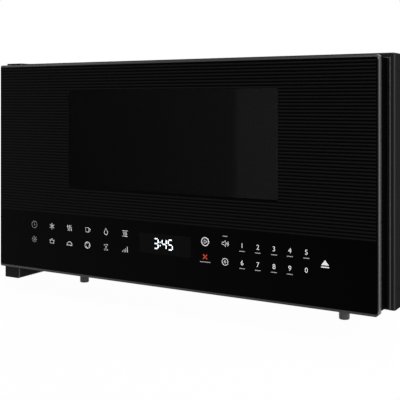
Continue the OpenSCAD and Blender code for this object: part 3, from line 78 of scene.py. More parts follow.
def finish(name, colour, roughness, metallic=0.0, specular=0.5, grain=2.0, mottle=0.15, gloss_spread=0.08,
           relief=0.15, depth=0.05, stretch=(1, 1, 1), texture="ShaderNodeTexNoise"):
    """A surface whose colour, gloss and relief vary with a grain of so many millimetres."""
    material = bpy.data.materials.new(name)
    material.use_nodes = True
    tree = material.node_tree
    place = add_node(tree, "ShaderNodeTexCoord").outputs["Object"]
    scaled = add_node(tree, "ShaderNodeMapping", {"Vector": place, "Scale": stretch})
    pattern = add_node(tree, texture, {"Vector": scaled, "Scale": 1 / (grain * mm)})
    value = pattern.outputs["Distance"] if texture == "ShaderNodeTexVoronoi" else pattern.outputs[0]
    pale, dark = [(*[min(1, c * share) for c in colour], 1) for share in (1 + mottle, 1 - mottle)]
    tint = add_node(tree, "ShaderNodeMix", {"Factor": value, "A": dark, "B": pale}, data_type="RGBA")
    gloss = add_node(tree, "ShaderNodeMapRange", {
        "Value": value, "To Min": max(0.02, roughness - gloss_spread),
        "To Max": min(1, roughness + gloss_spread)})
    bump = add_node(tree, "ShaderNodeBump", {"Height": value, "Strength": relief, "Distance": depth * mm})
    set_inputs(tree, tree.nodes["Principled BSDF"], {
        "Metallic": metallic, "Specular IOR Level": specular, "Base Color": tint.outputs["Result"],
        "Roughness": gloss, "Normal": bump})
    return material


def dress(material, *nodes):
    """Gives nodes of the frame their finish."""
    for node in nodes:
        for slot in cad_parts[node].material_slots:
            slot.material = material


oven_enamel = finish("speckled grey enamel", (0.2, 0.2, 0.205), 0.34, grain=1.2, mottle=0.35, relief=0.1)
dress(oven_enamel, "oven_cavity")

# Waveguide cover: a sheet of pressed mica flakes, which lets the microwaves through. It is cut to
# size and clipped over the port in the right wall of the cavity.
mica = finish("pressed mica", (0.6, 0.5, 0.34), 0.55, grain=5, mottle=0.3, relief=0.3,
              texture="ShaderNodeTexVoronoi")
dress(mica, "waveguide_cover")

# Base plate and rear panel: pressed from galvanised sheet with its crystal pattern. The rear panel
# is slotted for the cooling air.
galvanised = finish("galvanised sheet", (0.5, 0.51, 0.53), 0.42, metallic=0.9, grain=9, mottle=0.16,
                    gloss_spread=0.1, relief=0.05, texture="ShaderNodeTexVoronoi")
dress(galvanised, "base_plate", "rear_panel")


# Front plate: painted sheet that closes the body around the mouth of the cavity, to which the
# flange of the cavity is spot welded. The welds show as a row of shallow dimples round the mouth.
def solid_from(name, mesh, body, material=None, nodes=()):
    """A finished piece of that mesh, which rides on a body and stands for the given nodes."""
    if material:
        mesh.materials.clear()
        mesh.materials.append(material)
    piece = bpy.data.objects.new(name, mesh)
    scene.collection.objects.link(piece)
    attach(piece, body)
    if nodes:
        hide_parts(*nodes)
    return piece


def node_tree(name, sizes):
    """A tree of geometry nodes, with the sockets of its base mesh, its named sizes and its finish."""
    tree = bpy.data.node_groups.new(name, "GeometryNodeTree")
    for label, kind in {"Geometry": "Geometry", **sizes, "Finish": "Material"}.items():
        tree.interface.new_socket(label, in_out="INPUT", socket_type="NodeSocket" + kind)
    tree.interface.new_socket("Geometry", in_out="OUTPUT", socket_type="NodeSocketGeometry")
    return tree, tree.nodes.new("NodeGroupInput").outputs


def tree_math(tree, operation, first, second):
    """One sum in a tree, of two sockets or numbers."""
    return add_node(tree, "ShaderNodeMath", {0: first, 1: second}, operation=operation).outputs[0]


def vector(tree, x=0, y=0, z=0):
    """Three sockets or numbers of a tree as one vector."""
    return add_node(tree, "ShaderNodeCombineXYZ", {"X": x, "Y": y, "Z": z})


def close_tree(tree, given, geometry):
    """Ends a tree with the instances made real and the finish set."""
    real = add_node(tree, "GeometryNodeRealizeInstances", {"Geometry": geometry})
    painted = add_node(tree, "GeometryNodeSetMaterial", {"Geometry": real, "Material": given["Finish"]})
    add_node(tree, "NodeGroupOutput", {"Geometry": painted})


def plain(carrier):
    """The mesh that an object has with its modifiers. The object itself is removed."""
    scene.collection.objects.link(carrier)
    mesh = bpy.data.meshes.new_from_object(carrier.evaluated_get(bpy.context.evaluated_depsgraph_get()))
    carrier.modifiers.clear()
    bpy.data.objects.remove(carrier)
    return mesh


def grown(name, tree, base, values):
    """The plain mesh that a tree makes of a base mesh with these values."""
    carrier = bpy.data.objects.new(name, base)
    modifier = carrier.modifiers.new(name, "NODES")
    modifier.node_group = tree
    sockets = {item.name: item.identifier for item in tree.interface.items_tree if item.in_out == "INPUT"}
    for label, value in values.items():
        modifier[sockets[label]] = value
    mesh = plain(carrier)
    mesh.name = name
    return mesh


def mesh_of(name, points, edges=(), faces=()):
    """A mesh from its points, edges and faces."""
    mesh = bpy.data.meshes.new(name)
    mesh.from_pydata([tuple(p) for p in points], edges, faces)
    mesh.update()
    return mesh


plate_paint = finish("satin black paint", (0.0035, 0.0035, 0.0037), 0.4, specular=0.03, grain=0.9, relief=0.12)
dress(plate_paint, "front_plate")

weld_tree, weld = node_tree("spot welds", {"Weld radius": "Float", "Weld height": "Float"})
dimple = add_node(weld_tree, "GeometryNodeMeshIcoSphere", {"Subdivisions": 2, "Radius": weld["Weld radius"]})
weld_share = tree_math(weld_tree, "DIVIDE", weld["Weld height"], weld["Weld radius"])
weld_scale = vector(weld_tree, 1, weld_share, 1)
flat_dimple = add_node(weld_tree, "GeometryNodeTransform", {"Geometry": dimple, "Scale": weld_scale})
weld_spots = add_node(weld_tree, "GeometryNodeInstanceOnPoints", {
    "Points": weld["Geometry"], "Instance": flat_dimple})
close_tree(weld_tree, weld, weld_spots)

plate_low, plate_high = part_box("front_plate")
cavity_low, cavity_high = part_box("oven_cavity")
weld_edge, weld_pitch = 5 * mm, 36 * mm
weld_x = cavity_high.x + weld_edge
weld_low, weld_high = cavity_low.z - weld_edge, cavity_high.z + weld_edge
across = round(2 * weld_x / weld_pitch)
upward = round((weld_high - weld_low) / weld_pitch)
welds = [(-weld_x + 2 * weld_x * i / across, plate_low.y, z) for i in range(across + 1)
         for z in (weld_low, weld_high)]
welds += [(x, plate_low.y, weld_low + (weld_high - weld_low) * i / upward) for i in range(1, upward)
          for x in (-weld_x, weld_x)]
weld_r, weld_h = 1.8 * mm, 0.25 * mm
weld_mesh = grown("spot_welds", weld_tree, mesh_of("weld places", welds), {
    "Weld radius": weld_r, "Weld height": weld_h, "Finish": plate_paint})
solid_from("front_plate_spot_welds", weld_mesh, "body")


# Hinge brackets: pressed from steel, with slightly rounded edges, in black powder coat. The upper
# one is a bent plate behind the front plate, whose tongue runs out over the door. The lower one
# carries the door from below.
def to_plain(form, name):
    """The mesh of a bmesh, which is freed."""
    mesh = bpy.data.meshes.new(name)
    form.to_mesh(mesh)
    form.free()
    return mesh


def smooth(mesh, crease):
    """Shades a mesh smooth, apart from edges sharper than so many degrees."""
    mesh.shade_smooth()
    mesh.set_sharp_from_angle(angle=math.radians(crease))


def eased(name, node, radius, body, material, segments=2):
    """A copy of a node with its sharp edges rounded, which stands for the node."""
    same_point, flat, sharp, crease = 0.002 * mm, math.radians(0.6), math.radians(35), 32
    form = bmesh.new()
    form.from_mesh(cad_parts[node].data)
    bmesh.ops.remove_doubles(form, verts=form.verts, dist=same_point)
    bmesh.ops.dissolve_limit(form, angle_limit=flat, verts=form.verts, edges=form.edges, delimit={"NORMAL"})
    mesh = to_plain(form, name)
    mesh.materials.clear()
    mesh.materials.append(material)
    for face in mesh.polygons:
        face.material_index = 0
    blank = bpy.data.objects.new(name, mesh)
    bevel = blank.modifiers.new("eased edges", "BEVEL")
    bevel.width = radius
    bevel.segments = segments
    bevel.limit_method = "ANGLE"
    bevel.angle_limit = sharp
    bevel.use_clamp_overlap = True
    rounded_mesh = plain(blank)
    smooth(rounded_mesh, crease)
    return solid_from(name, rounded_mesh, body, None, (node,))


def mix_in(tree, factor, colour, blend="MIX"):
    """Mixes another colour into the colour of a material."""
    paint = tree.nodes["Principled BSDF"].inputs["Base Color"]
    mixed = add_node(tree, "ShaderNodeMix", {"Factor": factor, "A": paint.links[0].from_socket, "B": colour},
                     data_type="RGBA", blend_type=blend)
    tree.links.new(mixed.outputs["Result"], paint)


def paint_bend_highlights(material, tone, strength):
    """Paints highlights on the bends of the sheet: the colour is mixed paler where the surface turns between its
    flats.
    """
    tree = material.node_tree
    facing = add_node(tree, "ShaderNodeNewGeometry").outputs["Normal"]
    largest = 0.0
    for part in add_node(tree, "ShaderNodeSeparateXYZ", {0: facing}).outputs:
        largest = tree_math(tree, "MAXIMUM", tree_math(tree, "ABSOLUTE", part, 0), largest)
    # The painted highlight is strongest where the surface faces halfway between two axes, and nil on the flats.
    bend = tree_math(tree, "MULTIPLY", tree_math(tree, "SUBTRACT", 1, largest), strength)
    mix_in(tree, bend, (tone, tone, tone, 1))


bracket_paint = finish("black powder coat", (0.007, 0.007, 0.0073), 0.5, specular=0.04, grain=0.7, relief=0.2)
# The bends of the brackets get a painted highlight: their colour is mixed paler than on the flats.
paint_bend_highlights(bracket_paint, 0.06, 3)
eased("upper_bracket_plate", "upper_hinge_bracket", 0.3 * mm, "body", bracket_paint)
eased("lower_bracket_cup", "lower_hinge_bracket", 0.6 * mm, "body", bracket_paint, 3)

# Hinge pins: turned from steel and zinc-plated, one riveted in each bracket.
# The bushes of the door turn on them.
zinc = finish("zinc plating", (0.6, 0.6, 0.61), 0.32, metallic=1, grain=1.5, mottle=0.1)
dress(zinc, "hinge_pins")

# Waveguide: a duct folded from bare rolled steel, welded to the right wall of the cavity over the
# port. The magnetron's antenna reaches into it.
bare_steel = finish("bare rolled steel", (0.42, 0.42, 0.43), 0.36, metallic=1, grain=0.6, mottle=0.12,
                    stretch=(1, 0.06, 1))
dress(bare_steel, "waveguide")

# Magnetron: the anode and its antenna in a stack of fins, a pressed yoke round them, and the
# filter box with its two tabs below.
fins = finish("bright fins", (0.72, 0.73, 0.74), 0.28, metallic=1, grain=0.5, mottle=0.08, stretch=(0.08, 1, 1))
dress(fins, "magnetron_core")
dress(zinc, "magnetron_yoke", "magnetron_filter")

# Transformer: a varnished stack of laminations with enamelled copper wire wound in its windows.
# It is the heaviest part and stands on the base plate.
laminations = finish("varnished laminations", (0.15, 0.14, 0.13), 0.5, metallic=0.6, grain=3, mottle=0.4,
                     relief=0.6, stretch=(0.01, 1, 0.01), texture="ShaderNodeTexWave")
copper_wire = finish("wound copper wire", (0.5, 0.2, 0.07), 0.35, metallic=0.8, grain=3.5, mottle=0.35,
                     relief=0.8, depth=0.3, stretch=(0.01, 0.01, 1), texture="ShaderNodeTexWave")
dress(laminations, "transformer_core")
dress(copper_wire, "transformer_windings")

# Capacitor, its clamp and the diode: a drawn oval can under a zinc-plated steel strap, with the
# moulded diode behind it.
can_metal = finish("drawn can", (0.7, 0.7, 0.71), 0.3, metallic=1, grain=0.6, mottle=0.1, stretch=(1, 0.05, 1))
dark_moulding = finish("dark moulding", (0.025, 0.025, 0.027), 0.45, specular=0.35, grain=0.5, relief=0.2)
dress(can_metal, "capacitor")
dress(zinc, "capacitor_clamp")
dress(dark_moulding, "diode")

# Relay board: a green board with its relays, upright at the left of the cavity.
# Its stand is moulded in natural plastic.
solder_mask = finish("green solder mask", (0.02, 0.12, 0.05), 0.35, grain=7, mottle=0.4, relief=0.3,
                     texture="ShaderNodeTexVoronoi")
natural_moulding = finish("natural moulding", (0.6, 0.58, 0.52), 0.5, grain=0.6, mottle=0.05)
dress(solder_mask, "relay_board")
dress(natural_moulding, "board_stand")

# Thermal cut-outs and the cavity lamp: small parts on the roof and on the left wall of the cavity.
# The cut-outs are dark mouldings, and the lamp sits in a box of steel sheet.
lamp_steel = finish("lamp sheet", (0.55, 0.55, 0.54), 0.4, metallic=0.9, grain=1.5, mottle=0.1)
dress(dark_moulding, "thermal_cutouts")
dress(lamp_steel, "cavity_lamp")

# Interlock: a moulded bracket with the sills for the hooks, three switches with red plungers, and
# the solenoid that pulls the lifter up.
plunger_red = finish("red plunger", (0.5, 0.03, 0.02), 0.35, grain=0.6, mottle=0.08)
yellow_chromate = finish("yellow chromate", (0.55, 0.42, 0.16), 0.35, metallic=0.9, grain=3, mottle=0.25)
dress(natural_moulding, "interlock_bracket", "release_lifter")
dress(dark_moulding, "interlock_switches")
dress(plunger_red, "upper_plunger", "lower_plunger", "monitor_plunger")
dress(yellow_chromate, "release_solenoid")

# Turntable motor: a flat geared motor in a pressed can, screwed under the cavity. Its shaft comes
# up through the floor.
motor_can = finish("motor can", (0.4, 0.4, 0.41), 0.36, metallic=1, grain=0.8, mottle=0.1)
dress(motor_can, "turntable_motor")

# Convection: a pressed housing behind the cavity with the oxidised heater ring, the bladed wheel
# and its motor. The cooling fan has the same motor in front of its shroud.
heater_tube = finish("oxidised tube", (0.12, 0.115, 0.11), 0.5, metallic=0.7, grain=4, mottle=0.3)
dress(galvanised, "convection_housing")
dress(heater_tube, "convection_element")
dress(bare_steel, "convection_fan")
dress(motor_can, "fan_motors")
dress(dark_moulding, "fan_shroud")
dress(natural_moulding, "cooling_fan")

# Drive coupler, roller ring and rollers: moulded in white heat-proof plastic. The rollers turn on
# the stub axles of the ring and carry the tray.
white_moulding = finish("white heat-proof moulding", (0.74, 0.72, 0.67), 0.42, grain=0.5, mottle=0.04)
eased("coupler_with_lobes", "turntable_coupler", 0.8 * mm, "turntable", white_moulding)
eased("ring_with_axles", "roller_ring", 0.5 * mm, "tray_ring", white_moulding)
for index in (1, 2, 3):
    eased(f"roller_wheel_{index}", f"roller_{index}", 0.8 * mm, f"ring_roller_{index}",
          white_moulding)


# Glass tray: pressed from clear heat-proof glass, with a raised rim and three lugs below, which
# the coupler drives. It lies loose on the rollers.
def clear_glass(name, tint, roughness, waviness):
    """Clear glass that is slightly uneven, as pressed or rolled glass is."""
    material = finish(name, tint, roughness, grain=25, mottle=0.03, gloss_spread=0.01, relief=waviness)
    tree = material.node_tree
    set_inputs(tree, tree.nodes["Principled BSDF"], {"Transmission Weight": 1, "IOR": 1.47})
    return material


tray_glass = clear_glass("pressed clear glass", (0.9, 0.96, 0.95), 0.05, 0.1)
eased("tray_dish", "glass_tray", 1.0 * mm, "turntable", tray_glass, 3)

# Outer case: one folded sheet painted satin black, with a narrow rim round the front whose inner
# edge is rolled over to a smooth hem.
case_paint = finish("satin case paint", (0.0095, 0.0095, 0.01), 0.3, specular=0, grain=0.9, mottle=0.2,
                    relief=0.12)
# The bends of the case get a painted highlight: their colour is mixed paler than on the flats.
paint_bend_highlights(case_paint, 0.035, 3)
dress(case_paint, "outer_case")


def sweep(tree, given, path, profile):
    """Ends a tree with a profile that follows a path and is closed at both ends."""
    swept = add_node(tree, "GeometryNodeCurveToMesh", {"Curve": path, "Profile Curve": profile, "Fill Caps": True})
    close_tree(tree, given, swept)


hem_tree, hem = node_tree("rolled hem", {"Hem radius": "Float"})
hem_path = add_node(hem_tree, "GeometryNodeMeshToCurve", {"Mesh": hem["Geometry"]})
hem_round = add_node(hem_tree, "GeometryNodeCurvePrimitiveCircle", {
    "Resolution": 16, "Radius": hem["Hem radius"]})
sweep(hem_tree, hem, hem_path, hem_round)
case_low, case_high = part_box("outer_case")
rim_w, hem_r, hem_tuck, hem_inset, hem_gap = 7.5 * mm, 1.3 * mm, 0.2 * mm, 0.6 * mm, 1 * mm
hem_x, hem_y = case_high.x - rim_w + hem_r - hem_tuck, case_low.y + hem_inset
hem_foot, hem_top = case_low.z + hem_gap, case_high.z - rim_w + hem_r
# The hem is painted paler than the case paint of the sheet it is rolled from: a painted highlight along the inner
# edge of the rim.
hem_highlight_paint = finish("satin black hem", (0.038, 0.038, 0.039), 0.3, specular=0.05, grain=0.8, relief=0.1)
hem_ends = ((-hem_x, hem_foot), (-hem_x, hem_top), (hem_x, hem_top), (hem_x, hem_foot))
hem_line = mesh_of("hem path", [(x, hem_y, z) for x, z in hem_ends], [(0, 1), (1, 2), (2, 3)])
hem_mesh = grown("rolled hem", hem_tree, hem_line, {"Hem radius": hem_r, "Finish": hem_highlight_paint})
smooth(hem_mesh, 50)
solid_from("case_rolled_hem", hem_mesh, "body")


# Feet: tapered grey mouldings with a flange under the base plate and a rounded sole, each held by
# one screw through its middle.
def turned(profile, centre, steps=48):
    """A closed solid of revolution about an upright axis, from its profile of (radius, height)."""
    points, faces, rings = [], [], []
    for radius, height in profile:
        count = steps if radius else 1
        rings.append(range(len(points), len(points) + count))
        for i in range(count):
            angle = 2 * math.pi * i / steps
            points.append((centre[0] + radius * math.cos(angle), centre[1] + radius * math.sin(angle), height))
    for low, high in zip(rings, rings[1:]):
        for i in range(steps):
            j = (i + 1) % steps
            corners = (low[i % len(low)], low[j % len(low)], high[j % len(high)], high[i % len(high)])
            faces.append(list(dict.fromkeys(corners)))
    form = bmesh.new()
    form.from_mesh(mesh_of("turned", points, (), faces))
    bmesh.ops.recalc_face_normals(form, faces=form.faces)
    mesh = to_plain(form, "turned")
    smooth(mesh, 40)
    return mesh


def rounded_corner(radius, height, bend, start, turn, steps=5):
    """Profile points of a round corner about (radius, height), from one angle through another."""
    return [(radius + bend * math.cos(math.radians(start + turn * i / steps)),
             height + bend * math.sin(math.radians(start + turn * i / steps))) for i in range(steps + 1)]


def joined(name, meshes):
    """One mesh of several."""
    form = bmesh.new()
    for mesh in meshes:
        form.from_mesh(mesh)
    return to_plain(form, name)


foot_grey = finish("grey foot moulding", (0.05, 0.05, 0.0515), 0.3, specular=0.2, grain=0.6, mottle=0.08,
                   relief=0.2)
feet_low, feet_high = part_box("feet")
base_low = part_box("base_plate")[0]
flange_r, neck_r, sole_r = 11 * mm, 7.8 * mm, 7.2 * mm
flange_bend, neck_bend, sole_bend = 0.5 * mm, 1 * mm, 1.2 * mm
flange_z = base_low.z - 2 * mm
recess_r, recess_depth, recess_edge = 3.4 * mm, 24 * mm, 0.4 * mm
foot_profile = [(0, recess_depth), (recess_r, recess_depth), (recess_r, recess_edge),
                (recess_r + recess_edge, 0)]
foot_profile += rounded_corner(sole_r - sole_bend, sole_bend, sole_bend, -90, 88)
foot_profile += [(neck_r, flange_z - neck_bend)]
foot_profile += rounded_corner(neck_r + neck_bend, flange_z - neck_bend, neck_bend, 180, -90)
foot_profile += rounded_corner(flange_r - flange_bend, flange_z + flange_bend, flange_bend, -90, 90)
foot_profile += rounded_corner(flange_r - flange_bend, base_low.z - flange_bend, flange_bend, 0, 90)
foot_profile += [(0, base_low.z)]
feet_mesh = joined("four feet", [turned(foot_profile, (x, y))
                                 for x in (feet_low.x + flange_r, feet_high.x - flange_r)
                                 for y in (feet_low.y + flange_r, feet_high.y - flange_r)])
solid_from("moulded_feet", feet_mesh, "body", foot_grey, ("feet",))

# Body screws: zinc-plated pan-head screws with a cross recess. They hold the rear panel to the
# flange of the case, and the two hinge brackets to the base plate and the front plate.
screw_tree, screw = node_tree("cross-head screws", {
    **dict.fromkeys(("Head radius", "Head height", "Shank radius", "Shank length", "Recess"), "Float"),
    "Facing": "Vector"})
head_taper, head_sides, shank_sides, slot_share = 0.72, 24, 16, 0.22
head_top = tree_math(screw_tree, "MULTIPLY", screw["Head radius"], head_taper)
head = add_node(screw_tree, "GeometryNodeMeshCone", {
    "Vertices": head_sides, "Radius Top": head_top, "Radius Bottom": screw["Head radius"],
    "Depth": screw["Head height"]})
slot_width = tree_math(screw_tree, "MULTIPLY", screw["Recess"], slot_share)
slot_lift = vector(screw_tree, z=screw["Head height"])
slot_blocks = []
for slot_x, slot_y in ((screw["Recess"], slot_width), (slot_width, screw["Recess"])):
    slot_size = vector(screw_tree, slot_x, slot_y, screw["Head height"])
    slot_block = add_node(screw_tree, "GeometryNodeMeshCube", {"Size": slot_size})
    slot_blocks.append(add_node(screw_tree, "GeometryNodeTransform", {
        "Geometry": slot_block, "Translation": slot_lift}))
recessed = add_node(screw_tree, "GeometryNodeMeshBoolean", {"Mesh 1": head, "Mesh 2": slot_blocks},
                    operation="DIFFERENCE")
shank = add_node(screw_tree, "GeometryNodeMeshCylinder", {
    "Vertices": shank_sides, "Radius": screw["Shank radius"], "Depth": screw["Shank length"]})
shank_drop = vector(screw_tree, z=tree_math(screw_tree, "MULTIPLY", screw["Shank length"], -0.5))
sunk_shank = add_node(screw_tree, "GeometryNodeTransform", {"Geometry": shank, "Translation": shank_drop})
whole_screw = add_node(screw_tree, "GeometryNodeJoinGeometry", {"Geometry": [recessed, sunk_shank]})
facing = add_node(screw_tree, "FunctionNodeEulerToRotation", {"Euler": screw["Facing"]})
screw_spots = add_node(screw_tree, "GeometryNodeInstanceOnPoints", {
    "Points": screw["Geometry"], "Instance": whole_screw, "Rotation": facing})
close_tree(screw_tree, screw, screw_spots)

quarter = math.pi / 2
to_back, to_floor = (-quarter, 0, 0), (math.pi, 0, 0)
head_r, shank_r, tall_head, low_head = 3 * mm, 1.5 * mm, 2 * mm, 1.2 * mm
recess_l = 1.3 * head_r


def screws(name, places, direction, head_h, shank_l):
    """Screws whose heads start at these places and face that way."""
    return grown(name, screw_tree, mesh_of(name, places), {
        "Head radius": head_r, "Head height": head_h, "Shank radius": shank_r, "Shank length": shank_l,
        "Recess": recess_l, "Facing": direction, "Finish": zinc})


rear_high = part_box("rear_panel")[1]
bracket_low, bracket_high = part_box("lower_hinge_bracket")
leg_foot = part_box("upper_hinge_bracket")[0].z
flange_mid = 6 * mm
body_height = case_high.z - base_low.z
side_shares, top_shares = (0.12, 0.5, 0.88), (-0.5, 0.5)
rear_places = [(side * (rear_high.x - flange_mid), rear_high.y, base_low.z + share * body_height)
               for side in (-1, 1) for share in side_shares]
rear_places += [(share * case_high.x, rear_high.y, rear_high.z - flange_mid) for share in top_shares]
screw_inset, screw_back, screw_rise, screw_web = 8 * mm, 13.5 * mm, 15 * mm, 2 * mm
bracket_xs = (bracket_low.x + screw_inset, bracket_high.x - screw_inset)
lower_places = [(x, bracket_high.y - screw_back, base_low.z - screw_web) for x in bracket_xs]
upper_places = [(x, plate_high.y + screw_web, leg_foot + screw_rise) for x in bracket_xs]
body_screw_mesh = joined("body screws", [
    screws("rear screws", rear_places, to_back, tall_head, 5 * mm),
    screws("lower bracket screws", lower_places, to_floor, low_head, 6 * mm),
    screws("upper bracket screws", upper_places, to_back, low_head, 3.2 * mm)])
solid_from("body_cross_head_screws", body_screw_mesh, "body", zinc, ("body_screws",))

# Cord gland: a bush of soft black rubber that snaps into the hole of the rear panel. The supply
# cord isn't shown.
gland_rubber = finish("soft black rubber", (0.012, 0.012, 0.012), 0.62, specular=0.3, grain=0.4, relief=0.25)
eased("cord_bush", "cord_gland", 0.5 * mm, "body", gland_rubber)

# Choke frame: the pressed steel tray of the door, in black enamel, with the hinge lugs on its side
# and their nylon bushes.
choke_enamel = finish("black enamel", (0.02, 0.02, 0.022), 0.3, grain=1.2, mottle=0.2)
bush_nylon = finish("bush nylon", (0.74, 0.72, 0.66), 0.4, grain=0.5, mottle=0.04)
dress(choke_enamel, "door_choke_frame")
dress(bare_steel, "hinge_lugs")
dress(bush_nylon, "hinge_bushes")

# Door screen: black sheet steel with a fine pattern of holes that are too small for microwaves.
# The holes stand in staggered rows behind the whole window.
hexagon_share, row_share = 1 / math.sqrt(3), math.sqrt(3) / 2
hole_pitch, hole_share, merge_gap = 3.4 * mm, 0.72, 0.02 * mm
sheet_tree, sheet = node_tree("perforated sheet", {
    "Columns": "Int", "Rows": "Int", "Pitch": "Float", "Hole share": "Float"})
cell = add_node(sheet_tree, "GeometryNodeMeshCircle", {
    "Vertices": 6, "Radius": tree_math(sheet_tree, "MULTIPLY", sheet["Pitch"], hexagon_share)},
    fill_type="NONE")
upright = add_node(sheet_tree, "GeometryNodeTransform", {"Geometry": cell, "Rotation": (0, 0, math.radians(30))})
ring = add_node(sheet_tree, "GeometryNodeExtrudeMesh", {"Mesh": upright, "Offset Scale": 0}, mode="EDGES")
here = add_node(sheet_tree, "GeometryNodeInputPosition")
drawn_in = add_node(sheet_tree, "ShaderNodeVectorMath", {0: here, "Scale": sheet["Hole share"]},
                    operation="SCALE")
inner_edge = add_node(sheet_tree, "GeometryNodeSetPosition", {
    "Geometry": ring, "Selection": ring.outputs["Top"], "Position": drawn_in})
columns_less = tree_math(sheet_tree, "SUBTRACT", sheet["Columns"], 1)
rows_less = tree_math(sheet_tree, "SUBTRACT", sheet["Rows"], 1)
row_pitch = tree_math(sheet_tree, "MULTIPLY", sheet["Pitch"], row_share)
field = add_node(sheet_tree, "GeometryNodeMeshGrid", {
    "Vertices X": sheet["Columns"], "Vertices Y": sheet["Rows"],
    "Size X": tree_math(sheet_tree, "MULTIPLY", columns_less, sheet["Pitch"]),
    "Size Y": tree_math(sheet_tree, "MULTIPLY", rows_less, row_pitch)})
point_number = add_node(sheet_tree, "GeometryNodeInputIndex")
row_number = tree_math(sheet_tree, "MODULO", point_number, sheet["Rows"])
odd_row = tree_math(sheet_tree, "MODULO", row_number, 2)
half_pitch = tree_math(sheet_tree, "MULTIPLY", sheet["Pitch"], 0.5)
stagger = vector(sheet_tree, tree_math(sheet_tree, "MULTIPLY", odd_row, half_pitch))
staggered = add_node(sheet_tree, "GeometryNodeSetPosition", {"Geometry": field, "Offset": stagger})
cells = add_node(sheet_tree, "GeometryNodeInstanceOnPoints", {"Points": staggered, "Instance": inner_edge})
real_cells = add_node(sheet_tree, "GeometryNodeRealizeInstances", {"Geometry": cells})
merged = add_node(sheet_tree, "GeometryNodeMergeByDistance", {"Geometry": real_cells, "Distance": merge_gap})
close_tree(sheet_tree, sheet, merged)

screen_paint = finish("black screen paint", (0.012, 0.012, 0.012), 0.5, specular=0.3, grain=0.6)
screen_low, screen_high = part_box("door_screen")
screen_size = screen_high - screen_low
flat_screen = grown("perforated sheet", sheet_tree, mesh_of("screen seed", [(0, 0, 0)]), {
    "Columns": int(screen_size.x / hole_pitch - 0.5),
    "Rows": int((screen_size.z - 0.5 * hole_pitch) / (hole_pitch * row_share)),
    "Pitch": hole_pitch, "Hole share": hole_share, "Finish": screen_paint})
screen_blank = bpy.data.objects.new("screen blank", flat_screen)
screen_wall = screen_blank.modifiers.new("sheet", "SOLIDIFY")
screen_wall.thickness = screen_size.y
screen_wall.offset = 0
screen_mesh = plain(screen_blank)
screen_mid = (screen_low + screen_high) / 2 - Vector((hole_pitch / 4, 0, 0))
screen_mesh.transform(Matrix.Translation(screen_mid) @ Matrix.Rotation(quarter, 4, "X"))
solid_from("perforated_door_screen", screen_mesh, "door", screen_paint, ("door_screen",))

# Inner pane: a clear sheet of glass that is held on the back of the choke frame. It keeps the
# screen clean and lets the cavity be seen.
pane_glass = clear_glass("clear pane glass", (0.93, 0.95, 0.95), 0.04, 0.03)
dress(pane_glass, "inner_window_pane")

# Shroud: a frame moulded in fine black plastic behind the glass. It closes the space between the
# glass and the screen, so that no inner part shows beside the window.
black_moulding = finish("fine black moulding", (0.0006, 0.0006, 0.0006), 0.5, specular=0.004, grain=0.5,
                        relief=0.25)
dress(black_moulding, "window_shroud")

# Control board, display module and their holder: a green board and a dark module on a moulding in
# natural plastic. They lie behind the lower band of the glass.
dress(solder_mask, "control_board")
dress(natural_moulding, "board_holder")
dress(dark_moulding, "display_module")

# Door frame: the satin grey moulding that the glass is bonded to. Its lips show above and below
# the glass, and its side shows behind the edge of the glass.
frame_grey = finish("satin dark moulding", (0.014, 0.014, 0.0143), 0.3, specular=0.34, grain=0.7, mottle=0.05,
                    relief=0.1)
eased("door_frame_rim", "door_frame", 0.4 * mm, "door", frame_grey)


# Door glass: one tempered sheet with ground edges. It is printed black from behind, apart from the
# window, which is smoked glass.
def rounded_outline(low_x, low_z, high_x, high_z, radius, steps=8):
    """Points of an upright rectangle with round corners, anticlockwise seen from the front."""
    corners = ((high_x, low_z, -1, 1, -90), (high_x, high_z, -1, -1, 0),
               (low_x, high_z, 1, -1, 90), (low_x, low_z, 1, 1, 180))
    points = []
    for x, z, to_x, to_z, start in corners:
        points += rounded_corner(x + to_x * radius, z + to_z * radius, radius, start, 90, steps)
    return points


def ground_sheet(name, low, high, radius, arris, hole=None):
    """A flat sheet with ground edges and a rectangular opening, if it has one."""
    form = bmesh.new()

    def pairs(rim):
        return zip(rim, rim[1:] + rim[:1])

    def loop(points, y):
        verts = [form.verts.new((x, y, z)) for x, z in points]
        for pair in pairs(verts):
            form.edges.new(pair)
        return verts

    def wall(front, back):
        for (a, b), (d, c) in zip(pairs(front), pairs(back)):
            form.faces.new((a, b, c, d))

    outline = rounded_outline(low.x, low.z, high.x, high.z, radius)
    inner = rounded_outline(low.x + arris, low.z + arris, high.x - arris, high.z - arris, radius - arris)
    loops = [loop(inner, low.y), loop(outline, low.y + arris), loop(outline, high.y - arris),
             loop(inner, high.y)]
    for front, back in zip(loops, loops[1:]):
        wall(front, back)
    caps = [[loops[0]], [loops[3]]]
    if hole:
        (left, foot), (right, top) = [(corner.x, corner.z) for corner in hole]
        corners = [(left, foot), (right, foot), (right, top), (left, top)]
        holes = [loop(corners, low.y), loop(corners, high.y)]
        wall(*holes)
        for rims, opening in zip(caps, holes):
            rims.append(opening)
    for rims in caps:
        edges = [form.edges.get(pair) for rim in rims for pair in pairs(rim)]
        bmesh.ops.triangle_fill(form, use_beauty=True, edges=edges)
    bmesh.ops.recalc_face_normals(form, faces=form.faces)
    return to_plain(form, name)


def span(tree, axis, start, end, low=0, high=1):
    """A value that goes from low to high between two places on an axis."""
    place = add_node(tree, "ShaderNodeSeparateXYZ", {0: tree.nodes["Texture Coordinate"].outputs["Object"]})
    return add_node(tree, "ShaderNodeMapRange", {
        "Value": place.outputs[axis], "From Min": start, "From Max": end, "To Min": low,
        "To Max": high}).outputs["Result"]


